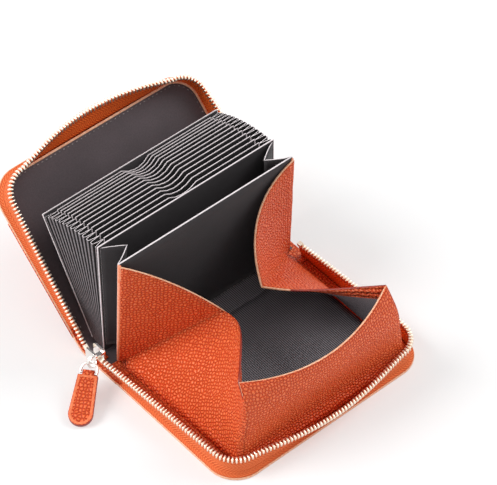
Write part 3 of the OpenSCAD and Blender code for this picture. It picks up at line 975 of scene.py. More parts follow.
@dataclass
class ZipSide:
    """The tape and teeth that stand round one cover."""

    cover: str
    matrix: Matrix
    left: Rim
    right: Rim
    stations: int = 64
    tooth_top: float = 1.5
    overlap: float = 0.35
    tooth_w: float = 2.35
    tooth_l: float = 0.88
    tooth_round: float = 0.3
    grip: float = 0.9
    turn_start: float = 0.043

    def at(self, share: float) -> tuple[Rim, float, bool]:
        """Half, distance from its end, and whether it is the mirrored half."""
        total = self.left.length + self.right.length
        s = share * total
        if s <= self.left.length:
            return self.left, s, False
        return self.right, total - s, True

    def point(self, share: float, height: float) -> Vector:
        """Point of the tape, with height as a share of what stands there."""
        rim, s, mirrored = self.at(share)
        low = rim.low(s)
        high = PLAN.tape_h + self.overlap
        here = rim.stand(s) @ Vector((0, 0, low + (high - low) * height))
        if mirrored:
            here.x = -here.x
        return self.matrix @ here

    def tape(self) -> bpy.types.Object:
        """Makes the woven tape, which reaches a little way into the teeth."""
        total = self.left.length + self.right.length
        flat = (total, PLAN.tape_h)
        bm = Maker.grid(self.stations * 2, 6, self.point, flat)
        looks = [Look.TAPE, Look.TAPE_BACK]
        if self.matrix.determinant() < 0:
            looks.reverse()
        made = Maker.piece(bm, f"{self.cover}_zip_tape_cloth", looks)
        return Maker.thicken(made, PLAN.tape_t, inner=1)

    def foot(self) -> bpy.types.Object:
        """Makes the smooth turn from the cover's edge up to the tape."""
        # Distance from the tape's middle, height, and how far it leans with the tape.
        turn = [(-1.75, 0.02, 0.0), (-1.2, 0.22, 0.0), (-0.75, 0.7, 0.1), (-0.48, 1.6, 0.7),
                (-0.42, 2.6, 1.0)]

        def at(a: float, b: float) -> Vector:
            """Point of the turn: low down it stands square, higher it leans."""
            first = self.turn_start if self.left.tail else 0.0
            rim, s, mirrored = self.at(first + (1 - first) * a)
            x, z, share = turn[round(b * (len(turn) - 1))]
            leaning = rim.stand(s) @ Vector((x, 0, z))
            square = rim.stand(s, upright=True) @ Vector((x, 0, z))
            here = mid(square, leaning, share)
            if mirrored:
                here.x = -here.x
            return self.matrix @ here

        bm = Maker.grid(self.stations * 2, len(turn) - 1, at, (260.0, 3.6))
        if self.matrix.determinant() < 0:
            bmesh.ops.reverse_faces(bm, faces=bm.faces)
        made = Maker.piece(bm, f"{self.cover}_zip_turn", [Look.TAPE_BACK])
        return Maker.thicken(made, 0.15)

    def frames(self, lift: float, first: float, pitch: float) -> list[Matrix]:
        """Frames along both halves, counted from the middle of the free edge."""
        places = []
        fix = Matrix.Diagonal((1.0, -1.0, 1.0, 1.0))
        flip = Matrix.Diagonal((-1.0, 1.0, 1.0, 1.0))
        swap = fix if self.matrix.determinant() < 0 else Matrix.Identity(4)
        for rim, mirrored in ((self.left, False), (self.right, True)):
            count = math.floor((rim.length - PLAN.stop_len) / pitch)
            for i in range(count):
                here = rim.stand(rim.length - (i + first) * pitch)
                here = here @ Matrix.Translation((0, 0, PLAN.tape_h + lift))
                here = flip @ here @ flip if mirrored else here
                places.append(self.matrix @ here @ swap)
        return places

    def teeth(self) -> bpy.types.Object:
        """Makes the teeth: each a rounded block that sits over the tape's rim."""
        size = Vector((self.tooth_w, self.tooth_l, self.tooth_top + self.grip))
        places = self.frames((self.tooth_top - self.grip) / 2, 0.5, PLAN.tooth_pitch)
        bm = Maker.blocks(places, size, self.tooth_round)
        return Maker.piece(bm, f"{self.cover}_zip_chain", [Look.METAL])

    def build(self) -> None:
        """Makes the tape and teeth of this side, and the turn at the tape's foot."""
        body = f"{self.cover}_cover"
        names = [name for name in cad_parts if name.startswith(f"{self.cover}_zip_tape")]
        Maker.settle(self.tape(), body, "zip_tape", *sorted(names))
        Maker.settle(self.teeth(), body, "zip_metal", f"{self.cover}_zip_teeth")
        Maker.settle(self.foot(), body, "zip_tape")


@dataclass
class Cover:
    """One cover: leather outside, board, and a lining inside."""

    cover: str
    matrix: Matrix
    start: float = 3.0
    inner_start: float = 0.5
    edge_round: float = 0.45
    stitch_inset: float = 3.4
    stitch_z: float = -0.02

    def outline(self, inset: float, back: float) -> bmesh.types.BMesh:
        """Makes the cover's flat outline with its two rounded corners."""
        bm = bmesh.new()
        bmesh.ops.create_grid(bm, x_segments=1, y_segments=1, size=0.5)
        w = PLAN.wallet_w - 2 * inset
        high = PLAN.cover_h - inset
        for vert in bm.verts:
            vert.co.x = math.copysign(w / 2, vert.co.x)
            vert.co.y = high if vert.co.y > 0 else back
        far = [v for v in bm.verts if v.co.y > back + 1]
        Maker.bevel(bm, far, PLAN.corner_r - inset, 14, "VERTICES")
        return bm

    def slab(
        self, inset: float, back: float, low: float, t: float, rim: int | None = None
    ) -> bmesh.types.BMesh:
        """Makes a layer of the cover.

        Args:
            inset: distance from the cover's edge.
            back: distance from the spine's edge.
            low: height of its lower face.
            t: thickness.
            rim: finish number of the faces at its edge.

        Returns:
            The layer in place.
        """
        bm = self.outline(inset, back)
        Maker.raise_up(bm, t)
        bmesh.ops.recalc_face_normals(bm, faces=bm.faces)
        if rim is not None:
            for face in bm.faces:
                if abs(face.normal.z) < 0.5:
                    face.material_index = rim
        # Every level edge is rounded but the two on the spine's side.
        sharp = [
            e
            for e in bm.edges
            if min(v.co.y for v in e.verts) > back + 0.01 or e.verts[0].co.y != e.verts[1].co.y
        ]
        level = [e for e in sharp if abs(e.verts[0].co.z - e.verts[1].co.z) < 0.01]
        Maker.bevel(bm, level, min(self.edge_round, t * 0.4), 3)
        bmesh.ops.translate(bm, vec=(0, 0, low), verts=bm.verts)
        Maker.flat_map(bm)
        bmesh.ops.transform(bm, matrix=self.matrix, verts=bm.verts)
        return bm

    def inner(self, name: str, look: Look) -> bpy.types.Object:
        """Makes the layer that lines the cover's inside."""
        low = PLAN.leather_t + PLAN.board_t
        bm = self.slab(PLAN.lining_inset, self.inner_start, low, PLAN.lining_t)
        return Maker.piece(bm, name, [look], outward=True)

    def path(self, inset: float, back: float, height: float) -> list[Vector]:
        """Line round the three free sides at a distance from the edge."""
        bm = self.outline(inset, back)
        line = sorted(
            (v.co.copy() for v in bm.verts), key=lambda p: math.atan2(p.x, p.y - back + 0.001)
        )
        bm.free()
        return [self.matrix @ Vector((p.x, p.y, height)) for p in line]

    def out(self, _at: Vector) -> Vector:
        """Direction away from the cover's outside."""
        return (self.matrix.to_3x3() @ Vector((0, 0, -1))).normalized()

    def inside(self, _at: Vector) -> Vector:
        """Direction away from the cover's inside."""
        return (self.matrix.to_3x3() @ Vector((0, 0, 1))).normalized()

    def build(self) -> None:
        """Makes the leather and its stitching, and dresses the board."""
        body = f"{self.cover}_cover"
        skin = Maker.piece(
            self.slab(0, self.start, 0, PLAN.leather_t, 1),
            f"{self.cover}_cover_skin",
            [Look.LEATHER, Look.RAW_EDGE],
            outward=True,
        )
        Maker.settle(skin, body, "outer_leather", f"{self.cover}_cover_leather")
        seam = Stitching(f"{self.cover}_cover_stitches").row(
            self.path(self.stitch_inset, self.start, self.stitch_z), self.out
        )
        Maker.settle(seam, body, "outer_leather")
        Maker.dress(f"{self.cover}_board", Look.BOARD)


@dataclass
class LowerCover(Cover):
    """The cover on the table: leather inside too, with the pouch's floor on it."""

    floor_l: float = 69.0
    floor_y: float = -35.0
    floor_lift: float = 0.28
    floor_wave: float = 0.075
    stitch_z: float = 0.13

    def build(self) -> None:
        """Makes the leather, facing and pouch floor."""
        super().build()
        facing = self.inner("lower_facing", Look.SOFT_LEATHER)
        Maker.settle(facing, "lower_cover", "outer_leather", "lower_lining")

        def floor_at(a: float, b: float) -> Vector:
            """Point of the floor, very slightly wavy."""
            x, y = (a - 0.5) * PLAN.floor_w, self.floor_y + b * self.floor_l
            wave = noise.noise(Vector((x, y, 3.0)) * 0.05) * self.floor_wave
            return Vector((x, y, PLAN.stack_t + self.floor_lift + wave))

        bm = Maker.grid(24, 18, floor_at, (PLAN.floor_w, self.floor_l))
        floor = Maker.thicken(Maker.piece(bm, "pouch_floor_cloth", [Look.FLOOR]), PLAN.floor_t)
        Maker.settle(floor, "lower_cover", "pouch_floor", "coin_floor")


@dataclass
class UpperCover(Cover):
    """The standing cover: cloth lining with a bound edge, slip pocket outside."""

    slip_h: float = 60.0
    slip_t: float = 1.0
    welt_w: float = 1.05
    welt_out: float = 0.75
    welt_back: float = 2.0
    welt_lift: float = 0.1
    welt_t: float = 0.6
    welt_round: float = 0.18
    mouth_round: float = 0.3
    seam_in: float = 1.3

    def welt(self) -> bpy.types.Object:
        """Makes the narrow leather welt between lining and tape."""
        outer = self.outline(PLAN.lining_inset - self.welt_out, self.welt_back)
        grown = bmesh.ops.inset_region(
            outer,
            faces=outer.faces[:],
            thickness=self.welt_w,
            use_even_offset=True,
            use_boundary=True,
        )
        band = set(grown["faces"])
        foot = self.welt_back + self.welt_w * 0.6
        drop = [f for f in outer.faces if f not in band or f.calc_center_median().y < foot]
        bmesh.ops.delete(outer, geom=drop, context="FACES")
        Maker.flat_map(outer)
        height = PLAN.stack_t + self.welt_lift
        bmesh.ops.translate(outer, vec=(0, 0, height), verts=outer.verts)
        bmesh.ops.transform(outer, matrix=self.matrix, verts=outer.verts)
        made = Maker.piece(outer, "upper_lining_welt", [Look.RAW_EDGE])
        return Maker.soften(Maker.thicken(made, self.welt_t), self.welt_round)

    def slip_pocket(self) -> bpy.types.Object:
        """Makes the pocket panel with its bevelled mouth."""
        bm = bmesh.new()
        size = Matrix.Diagonal((PLAN.wallet_w, self.slip_h - self.start, self.slip_t, 1.0))
        middle = Vector((0, (self.slip_h + self.start) / 2, -self.slip_t / 2))
        bmesh.ops.create_cube(bm, size=1.0, matrix=Matrix.Translation(middle) @ size)
        for face in bm.faces:
            if face.normal.y > 0.5:
                face.material_index = 1
        mouth = [e for e in bm.edges if max(v.co.y for v in e.verts) > self.slip_h - 0.1]
        Maker.bevel(bm, mouth, self.mouth_round, 3)
        Maker.flat_map(bm)
        bmesh.ops.transform(bm, matrix=self.matrix, verts=bm.verts)
        return Maker.piece(bm, "slip_pocket_panel", [Look.LEATHER, Look.RAW_EDGE], outward=True)

    def build(self) -> None:
        """Makes the leather, lining, welt, pocket and their stitches."""
        super().build()
        body = "upper_cover"
        lining = self.inner("upper_lining_cloth", Look.LINING)
        Maker.settle(lining, body, "lining", "upper_lining")
        Maker.settle(self.welt(), body, "outer_leather")
        seam = Stitching(
            "upper_lining_stitches", Look.DARK_THREAD, length=0.9, gap=1.5, width=0.4, height=0.3
        )
        height = PLAN.stack_t + self.welt_lift
        line = self.path(PLAN.lining_inset + self.seam_in, self.welt_back, height)
        Maker.settle(seam.row(line, self.inside), body, "lining")
        Maker.settle(self.slip_pocket(), body, "outer_leather", "slip_pocket")
        half = PLAN.wallet_w / 2 - self.stitch_inset
        low, high, mouth = self.start + 2, self.slip_h - 1.5, self.slip_h - 2.2
        lines = {
            "left": ((-half, low), (-half, high)),
            "right": ((half, low), (half, high)),
            "mouth": ((-half - 2, mouth), (half + 2, mouth)),
        }
        for name, ends in lines.items():
            line = [self.matrix @ Vector((x, y, -self.slip_t)) for x, y in ends]
            seam = Stitching(f"slip_pocket_{name}_stitches").row(line, self.out)
            Maker.settle(seam, body, "outer_leather")


@dataclass
class Spine:
    """Spine leather and its lining, flat by the lower cover and curved up into the upper one."""

    reach: float = 3.0
    middle: float = 12.5
    lining_half: float = 53.6
    lining_t: float = 0.45
    lining_past: float = 0.8
    flap_half: float = 53.2
    flap_map: float = 106.0
    flap_back: float = 4.0
    flap_end: float = 45.6
    flap_z: float = 2.98
    flap_t: float = 0.35
    sink: float = 0.75
    sink_y: float = 37.0
    sink_run: float = 5.0
    tab_x: float = 52.3
    tab_y: float = 51.9
    tab_z: float = 2.4
    tab_round: float = 0.25
    tab_size: Vector = field(default_factory=lambda: Vector((4.9, 4.6, 0.85)))

    def strip(
        self, name: str, span: tuple[float, float], depth: float, t: float, look: Look, half: float
    ) -> bpy.types.Object:
        """Makes a strip of the spine.

        Args:
            name: name of the piece.
            span: where it starts and ends along the outer face.
            depth: depth of the strip's outer side.
            t: its thickness.
            look: its finish.
            half: half its width.

        Returns:
            The strip.
        """

        def at(a: float, b: float) -> Vector:
            """Point of the strip."""
            here = PLAN.spine_at(span[0] + (span[1] - span[0]) * b, depth)
            here.x = (1 - a * 2) * half
            return here

        bm = Maker.grid(28, 14, at, (2 * half, span[1] - span[0]))
        made = Maker.piece(bm, name, [look, Look.RAW_EDGE if look is Look.LEATHER else look])
        return Maker.thicken(made, t, rim=1, offset=-1.0)

    def flap(self) -> bpy.types.Object:
        """Makes the leather that runs from the lower cover to the coin wall's foot."""
        start = PLAN.cover_h / 2 - self.flap_back
        length = self.flap_end - start

        def at(a: float, b: float) -> Vector:
            """Point of the flap, which sinks onto the spine."""
            y = start + length * b
            over = min(1.0, max(0.0, (y - self.sink_y) / self.sink_run))
            sunk = self.sink * over * over * (3 - 2 * over)
            return Vector(((a * 2 - 1) * self.flap_half, y, self.flap_z - sunk))

        bm = Maker.grid(24, 10, at, (self.flap_map, length))
        return Maker.thicken(Maker.piece(bm, "facing_flap", [Look.SOFT_LEATHER]), self.flap_t)

    def build(self) -> None:
        """Makes the leather and the lining in two halves each, the flap and the end tabs."""
        lower = ("lower_cover", "spine")
        upper = ("spine", "upper_cover")
        half = PLAN.wallet_w / 2
        fold = PLAN.spine_at(-self.reach, 0), PLAN.spine_at(self.reach, 0)
        end = PLAN.spine_w
        lift = PLAN.spine_at(end - 6, 0), PLAN.spine_at(end + self.reach, 0)
        low = (-self.reach, self.middle)
        high = (self.middle, end + self.reach)
        piece = self.strip("spine_leather_lower", low, 0, PLAN.leather_t, Look.LEATHER, half)
        Maker.bend(piece, lower, *fold, "outer_leather", "spine_leather")
        piece = self.strip("spine_leather_upper", high, 0, PLAN.leather_t, Look.LEATHER, half)
        Maker.bend(piece, upper, *lift, "outer_leather")
        depth = PLAN.leather_t + 0.02
        low, high = (-self.lining_past, self.middle), (self.middle, end + self.lining_past)
        cloth = (depth, self.lining_t, Look.LINING, self.lining_half)
        piece = self.strip("spine_lining_lower", low, *cloth)
        Maker.bend(piece, lower, *fold, "lining", "spine_lining")
        piece = self.strip("spine_lining_upper", high, *cloth)
        Maker.bend(piece, upper, *lift, "lining")
        Maker.bend(self.flap(), lower, *fold, "outer_leather")
        for side in Side:
            at = Matrix.Translation((side.value * self.tab_x, self.tab_y, self.tab_z))
            bm = Maker.blocks([at], self.tab_size, self.tab_round)
            Maker.flat_map(bm)
            name = f"{side.name.lower()}_zip_end_tab"
            nodes = ("zip_end_tabs",) if side is Side.LEFT else ()
            Maker.settle(Maker.piece(bm, name, [Look.SOFT_LEATHER]), "spine", "zip_tape", *nodes)


@dataclass
class Accordion:
    """The fan of card panels and the pleats at its two ends."""

    notch_w: float = 15.0
    notch_d: float = 2.5
    border: float = 0.32
    divider_t: float = 0.3
    panel_t: float = 0.5
    drop: float = 0.6
    play: float = 0.6
    crest: float = 0.19
    pleat_t: float = 0.26
    middle_pleat: int = 7

    @staticmethod
    def body(q: int) -> str:
        """Name of the body that carries a panel."""
        if q == 0:
            return "back_panel"
        return "front_panel" if q == PLAN.fan_steps else f"divider_{q:02d}"

    def outline(self, w: float, low: float, high: float, notched: bool) -> list[tuple]:
        """Outline of a panel as places across and up."""
        n, d = self.notch_w / 2, self.notch_d
        corners = [(-w / 2, low), (w / 2, low), (w / 2, high)]
        if notched:
            corners += [(n, high), (0.55 * n, high - 0.72 * d), (0.12 * n, high - d)]
            corners += [(-0.12 * n, high - d), (-0.55 * n, high - 0.72 * d), (-n, high)]
        return [*corners, (-w / 2, high)]

    def panel(self, q: int) -> bpy.types.Object:
        """Makes a panel with a pale edge, partly its cut edge and partly painted highlight."""
        ends = q in (0, PLAN.fan_steps)
        t = self.panel_t if ends else self.divider_t
        high = PLAN.panel_h if ends else PLAN.panel_h - self.drop
        w = PLAN.panel_w if ends else PLAN.panel_w - 2 * PLAN.pleat_d - self.play
        low = PLAN.fan_foot(q)
        bm = bmesh.new()
        corners = self.outline(w, low, high, not ends)
        bm.faces.new([bm.verts.new((x, r, -t / 2)) for x, r in corners])
        bm.normal_update()
        ring = bmesh.ops.inset_region(
            bm, faces=bm.faces[:], thickness=self.border, use_even_offset=True, use_boundary=True
        )
        for face in ring["faces"]:
            face.material_index = int(face.calc_center_median().y > low + 1)
        Maker.raise_up(bm, t)
        bm.normal_update()
        for face in bm.faces:
            if abs(face.normal.z) < 0.5 and face.calc_center_median().y > low + 1:
                face.material_index = 1
        shift = {0: (self.divider_t - t) / 2, PLAN.fan_steps: (t - self.divider_t) / 2}.get(q, 0)
        Maker.flat_map(bm)
        for vert in bm.verts:
            vert.co = PLAN.fan_point(vert.co.x, q, vert.co.y, vert.co.z + shift)
        names = {0: "back_panel_cloth", PLAN.fan_steps: "front_panel_cloth"}
        # The dividers take the painted-shade copy of the card cloth.
        looks = [Look.CARD if ends else Look.DEEP_CARD, Look.PALE_EDGE]
        name = names.get(q, f"card_divider_{q:02d}")
        return Maker.piece(bm, name, looks, outward=True, smooth=False)

    def pleat(self, k: int, side: Side) -> bpy.types.Object:
        """Makes the pleat between two neighbouring panels."""
        out = PLAN.panel_w / 2 - 0.3
        deep = PLAN.panel_w / 2 - PLAN.pleat_d
        last = PLAN.fan_steps - 1
        c = self.crest
        # Places across, each with its place between the panels, counted from the back panel.
        if k == 0:
            columns = [(out, 0.45), (out, 0.55), (out - 1.6, 0.72), (deep, 1.0)]
        elif k == last:
            columns = [(deep, k), (out - 1.6, k + 0.3), (out, k + 0.45), (out, k + 0.55)]
        else:
            columns = [
                (deep, k), (out - 0.7, k + 0.5 - c * 1.6), (out, k + 0.5 - c),
                (out, k + 0.5 + c), (out - 0.7, k + 0.5 + c * 1.6), (deep, k + 1),
            ]

        def at(a: float, b: float) -> Vector:
            """Point of the pleat for a column and a row."""
            x, q = columns[round(a * (len(columns) - 1))]
            low = PLAN.fan_foot(q) + 0.35
            high = PLAN.panel_h - 2 * self.drop
            return PLAN.fan_point(side.value * x, q, low + (high - low) * b)

        bm = Maker.grid(len(columns) - 1, 4, at, (9.0, PLAN.panel_h))
        # The outermost crest faces take the grey fold colour, partly painted highlight.
        for face in bm.faces:
            face.material_index = int(min(abs(v.co.x) for v in face.verts) > out - 0.05)
        name = f"{side.name.lower()}_pleat_{k + 1:02d}"
        # The pleats' walls take the painted-shade copy of the card cloth.
        looks = [Look.DEEP_CARD, Look.GREY_FOLD, Look.PALE_EDGE, Look.PALE_EDGE]
        made = Maker.piece(bm, name, looks, smooth=False)
        return Maker.thicken(made, self.pleat_t, rim=2)

    def build(self) -> None:
        """Makes every panel and pleat."""
        for q in range(PLAN.fan_steps + 1):
            body = self.body(q)
            Maker.settle(self.panel(q), body, "card_fabric", body)
        for k in range(PLAN.fan_steps):
            for side in Side:
                start = PLAN.fan_point(0, k, PLAN.panel_h / 2)
                end = PLAN.fan_point(0, k + 1, PLAN.panel_h / 2)
                nodes = (f"{side.name.lower()}_bellows",) if k == self.middle_pleat else ()
                Maker.bend(
                    self.pleat(k, side), (self.body(k + 1), self.body(k)), end, start,
                    "card_fabric", *nodes,
                )


@dataclass
class CoinPouch:
    """The folding coin pouch: lined wall, side gussets and bowed front."""

    hem: float = 5.4
    belly: float = 3.5
    wall_lean: float = 9.0
    wall_in: float = 5.6
    rim_dip: float = 4.5
    rim_bow: float = 10.0
    toe_x: float = 46.6
    front_wave: float = 1.6
    front_turn: float = math.radians(77)
    toe_in: float = 1.3
    toe_rise: float = 0.16
    wall_t: float = 0.7
    wall_low: float = 0.9
    floor_end: float = 33.6
    floor_lift: float = 0.26
    side_in: float = 1.2
    side_low: float = 0.06
    side_high: float = 0.985
    side_dip: float = 9.8
    side_t: float = 0.4
    heel_in: float = 2.0
    foot_share: float = 0.03
    front_map: tuple[float, float] = (94.0, 45.0)
    gusset_map: tuple[float, float] = (90.0, 60.0)
    dark_from: float = 60.0
    fold_tip: Vector = field(default_factory=lambda: Vector((-10.5, 17.8, 30.75)))
    crowns: dict[Side, Vector] = field(
        default_factory=lambda: {Side.LEFT: Vector((0, 0, 7)), Side.RIGHT: Vector((12, 12, 7))}
    )
    elbows: dict[Side, Vector] = field(
        default_factory=lambda: {
            Side.LEFT: Vector((0.9, -11.0, 0.95)),
            Side.RIGHT: Vector((-9.0, -13.4, 1.6)),
        }
    )

    def wall(self) -> None:
        """Makes the coin wall with its bindings and foot stitches, and the floor's strip."""

        def at(a: float, b: float) -> Vector:
            """Point of the coin wall's middle."""
            r = self.wall_low + (PLAN.coin_h - self.wall_low) * b
            return PLAN.coin_point((a - 0.5) * PLAN.coin_w, r, -0.05)

        bm = Maker.grid(16, 12, at, (PLAN.coin_w, PLAN.coin_h))
        made = Maker.piece(bm, "coin_wall_cloth", [Look.CARD, Look.LINING, Look.PALE_EDGE])
        Maker.thicken(made, self.wall_t, inner=1, rim=2)
        Maker.settle(made, "coin_wall", "card_fabric", "coin_wall", "coin_wall_lining")
        for side in Side:
            self.binding(side)
        line = [PLAN.coin_point(x, 1.6, 0.45) for x in (-44.0, 44.0)]
        lean = PLAN.coin_point(0, 0, 1) - PLAN.coin_point(0, 0, 0)
        seam = Stitching(
            "coin_wall_foot_stitches", Look.DARK_THREAD, length=1.0, gap=0.9, width=0.45, height=0.3
        )
        Maker.settle(seam.row(line, lambda _at: lean), "coin_wall", "lining")
        self.floor_back()

    def binding(self, side: Side) -> None:
        """Makes the leather that wraps an upright edge of the coin wall."""
        low, high = self.wall_low, PLAN.coin_h - 0.6
        x = side.value * (PLAN.coin_w / 2 - 0.1)
        a = PLAN.coin_angle - math.pi / 2
        at = Matrix.Translation(PLAN.coin_point(x, (low + high) / 2, 0.15))
        size = Vector((1.3, 1.9, high - low))
        bm = Maker.blocks([at @ Matrix.Rotation(a, 4, "X")], size, 0.45)
        name = f"{side.name.lower()}_coin_wall_binding"
        made = Maker.soften(Maker.piece(bm, name, [Look.BINDING]), 0.15)
        Maker.settle(made, "coin_wall", "outer_leather")

    def floor_back(self) -> None:
        """Makes the strip that joins the pouch's floor to the coin wall."""
        start = Vector((0, self.floor_end, PLAN.stack_t + self.floor_lift))
        end = PLAN.coin_point(0, 1.3, 0.3)

        def at(a: float, b: float) -> Vector:
            """Point of the strip."""
            here = mid(start, end, b)
            here.x = (a - 0.5) * PLAN.floor_w
            return here

        bm = Maker.grid(4, 8, at, (PLAN.floor_w, (end - start).length))
        made = Maker.thicken(Maker.piece(bm, "pouch_floor_back", [Look.FLOOR]), PLAN.floor_t)
        Maker.bend(made, ("lower_cover", "coin_wall"), start, end, "pouch_floor")

    def wide_gusset(self, side: Side) -> None:
        """Makes the inward fold between front panel and coin wall."""
        out = PLAN.panel_w / 2 - self.side_in

        def at(a: float, b: float) -> Vector:
            """Point of the folded side."""
            f = self.side_low + (self.side_high - self.side_low) * b
            r = f * PLAN.coin_h
            one = PLAN.fan_point(side.value * out, PLAN.fan_steps, r) - Vector((0, 0.6, 0))
            two = PLAN.coin_point(side.value * out, r, -1.0)
            dip = self.side_dip * (0.5 + f / 2) * (1 - abs(2 * a - 1)) ** 0.85
            return mid(one, two, a) - Vector((side.value * dip, 0, 0))

        bm = Maker.grid(12, 16, at, (22.0, PLAN.coin_h))
        made = Maker.piece(
            bm, f"{side.name.lower()}_wide_gusset_cloth", [Look.CARD, Look.PALE_EDGE]
        )
        Maker.thicken(made, self.side_t, rim=1)
        start = PLAN.coin_point(0, PLAN.coin_h / 2, -1.0)
        end = PLAN.fan_point(0, PLAN.fan_steps, PLAN.coin_h / 2)
        Maker.bend(
            made, ("coin_wall", "front_panel"), start, end, "card_fabric",
            f"{side.name.lower()}_wide_gusset",
        )

    def gusset_at(self, f: float, v: float, crown: Vector, elbow: Vector) -> Vector:
        """Point of the left side gusset.

        Args:
            f: 0 at the coin wall, 1 at the fold, 2 at the front.
            v: 0 at the floor, 1 at the rim.
            crown: how the upper rim swells.
            elbow: from the fold's tip to the bend of the rim in front of it.

        Returns:
            The point, for the left side.
        """
        heel = Vector((-PLAN.panel_w / 2, PLAN.coin_y - self.heel_in, PLAN.base_z))
        toe = Vector((-self.toe_x, PLAN.wall_y, PLAN.base_z))
        top = self.front_at(-1.0, 1.0)
        coin_top = PLAN.coin_point(-PLAN.coin_w / 2, PLAN.coin_h - 1, 1.25)
        tip = self.fold_tip
        knee = tip + elbow
        if f < 1:
            rim = curve_3(coin_top, (coin_top + tip) / 2 + crown, tip, f)
        else:
            rim = mid(curve_3(tip, knee, knee, f - 1), curve_3(knee, knee, top, f - 1), f - 1)
        foot = mid(heel, toe, f - 1)
        if f < 1.001:
            foot = mid(heel, rim, self.foot_share)
        puff = self.belly * math.sin(math.pi * max(0.0, f - 1)) * math.sin(math.pi * v)
        here = mid(foot, rim, v) + Vector((-0.6, 0, 0.8)) * puff
        here += (self.front_at(-1.0, v) - mid(toe, top, v)) * max(0.0, f - 1) ** 2
        ripple = noise.noise(here * 0.11) * 0.45 + noise.noise(here * 0.3) * 0.12
        return here + Vector((-0.3, -0.5, 0.3)) * ripple * math.sin(math.pi * min(v, 0.97))

    def side_gusset(self, side: Side) -> None:
        """Makes a side gusset: leather outside, lining inside with a leather hem."""
        crown, elbow = self.crowns[side], self.elbows[side]
        cols, rows = 36, 14

        def at(a: float, b: float) -> Vector:
            """Point of the gusset on its own side."""
            here = self.gusset_at(a * 2, b, crown, elbow)
            here.x *= -side.value
            return here

        bm = Maker.grid(cols, rows, at, self.gusset_map)
        if side is Side.RIGHT:
            bmesh.ops.reverse_faces(bm, faces=bm.faces)
        # Past dark_from along the map the hem's rim takes the dark edge colour.
        for face in bm.faces:
            past, high = Maker.on_map(bm, face)
            if high > self.gusset_map[1] - self.hem * 1.2:
                face.material_index = 5 if past > self.dark_from else 2
        Maker.unroll(bm, cols, at)
        looks = [Look.SOFT_LEATHER, Look.FLOOR, Look.SOFT_LEATHER, Look.HEM, Look.RAW_EDGE,
                 Look.SOFT_LEATHER, Look.HEM, Look.DARK_EDGE]
        name = f"{side.name.lower()}_coin_gusset"
        made = Maker.piece(bm, f"{name}_leather", looks)
        Maker.thicken(made, PLAN.pouch_t, inner=1, rim=2)
        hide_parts(name)
        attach(made, "lower_cover")
        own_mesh(made)

    def front_at(self, f: float, v: float) -> Vector:
        """Point of the front wall: f from -1 to 1 across, v from 0 to 1 up."""
        hump = 1 - f * f
        x = f * (self.toe_x - self.wall_in * v)
        y = PLAN.wall_y + (self.wall_lean - self.rim_bow * hump) * v * v
        y += self.front_wave * math.sin(math.tau * v)
        y -= self.toe_in * max(0.0, 1 - v / self.toe_rise) ** 2
        return Vector((x, y, PLAN.base_z + (PLAN.front_h - self.rim_dip * hump) * v))

    def front(self) -> None:
        """Makes the bowed front wall with its dipping rim."""

        def at(a: float, b: float) -> Vector:
            """Point of the front wall, with slight ripples."""
            here = self.front_at(2 * a - 1, b)
            ripple = noise.noise(here * 0.09) * 0.5 + noise.noise(here * 0.3) * 0.1
            still = math.sin(math.pi * min(b, 0.97)) * math.sin(math.pi * a)
            return here + Vector((0, 1, 0)) * ripple * still

        bm = Maker.grid(36, 16, at, self.front_map)
        for face in bm.faces:
            if Maker.on_map(bm, face).y > self.front_map[1] - self.hem:
                face.material_index = 2
        looks = [Look.SOFT_LEATHER, Look.FLOOR, Look.SOFT_LEATHER, Look.SOFT_LEATHER,
                 Look.RAW_EDGE]
        made = Maker.piece(bm, "coin_front_leather", looks)
        Maker.thicken(made, PLAN.pouch_t, inner=1, rim=2)
        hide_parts("coin_front_wall")
        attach(made, "coin_front")
        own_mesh(made)

    def build(self) -> None:
        """Makes the whole pouch."""
        self.wall()
        for side in Side:
            self.wide_gusset(side)
            self.side_gusset(side)
        self.front()


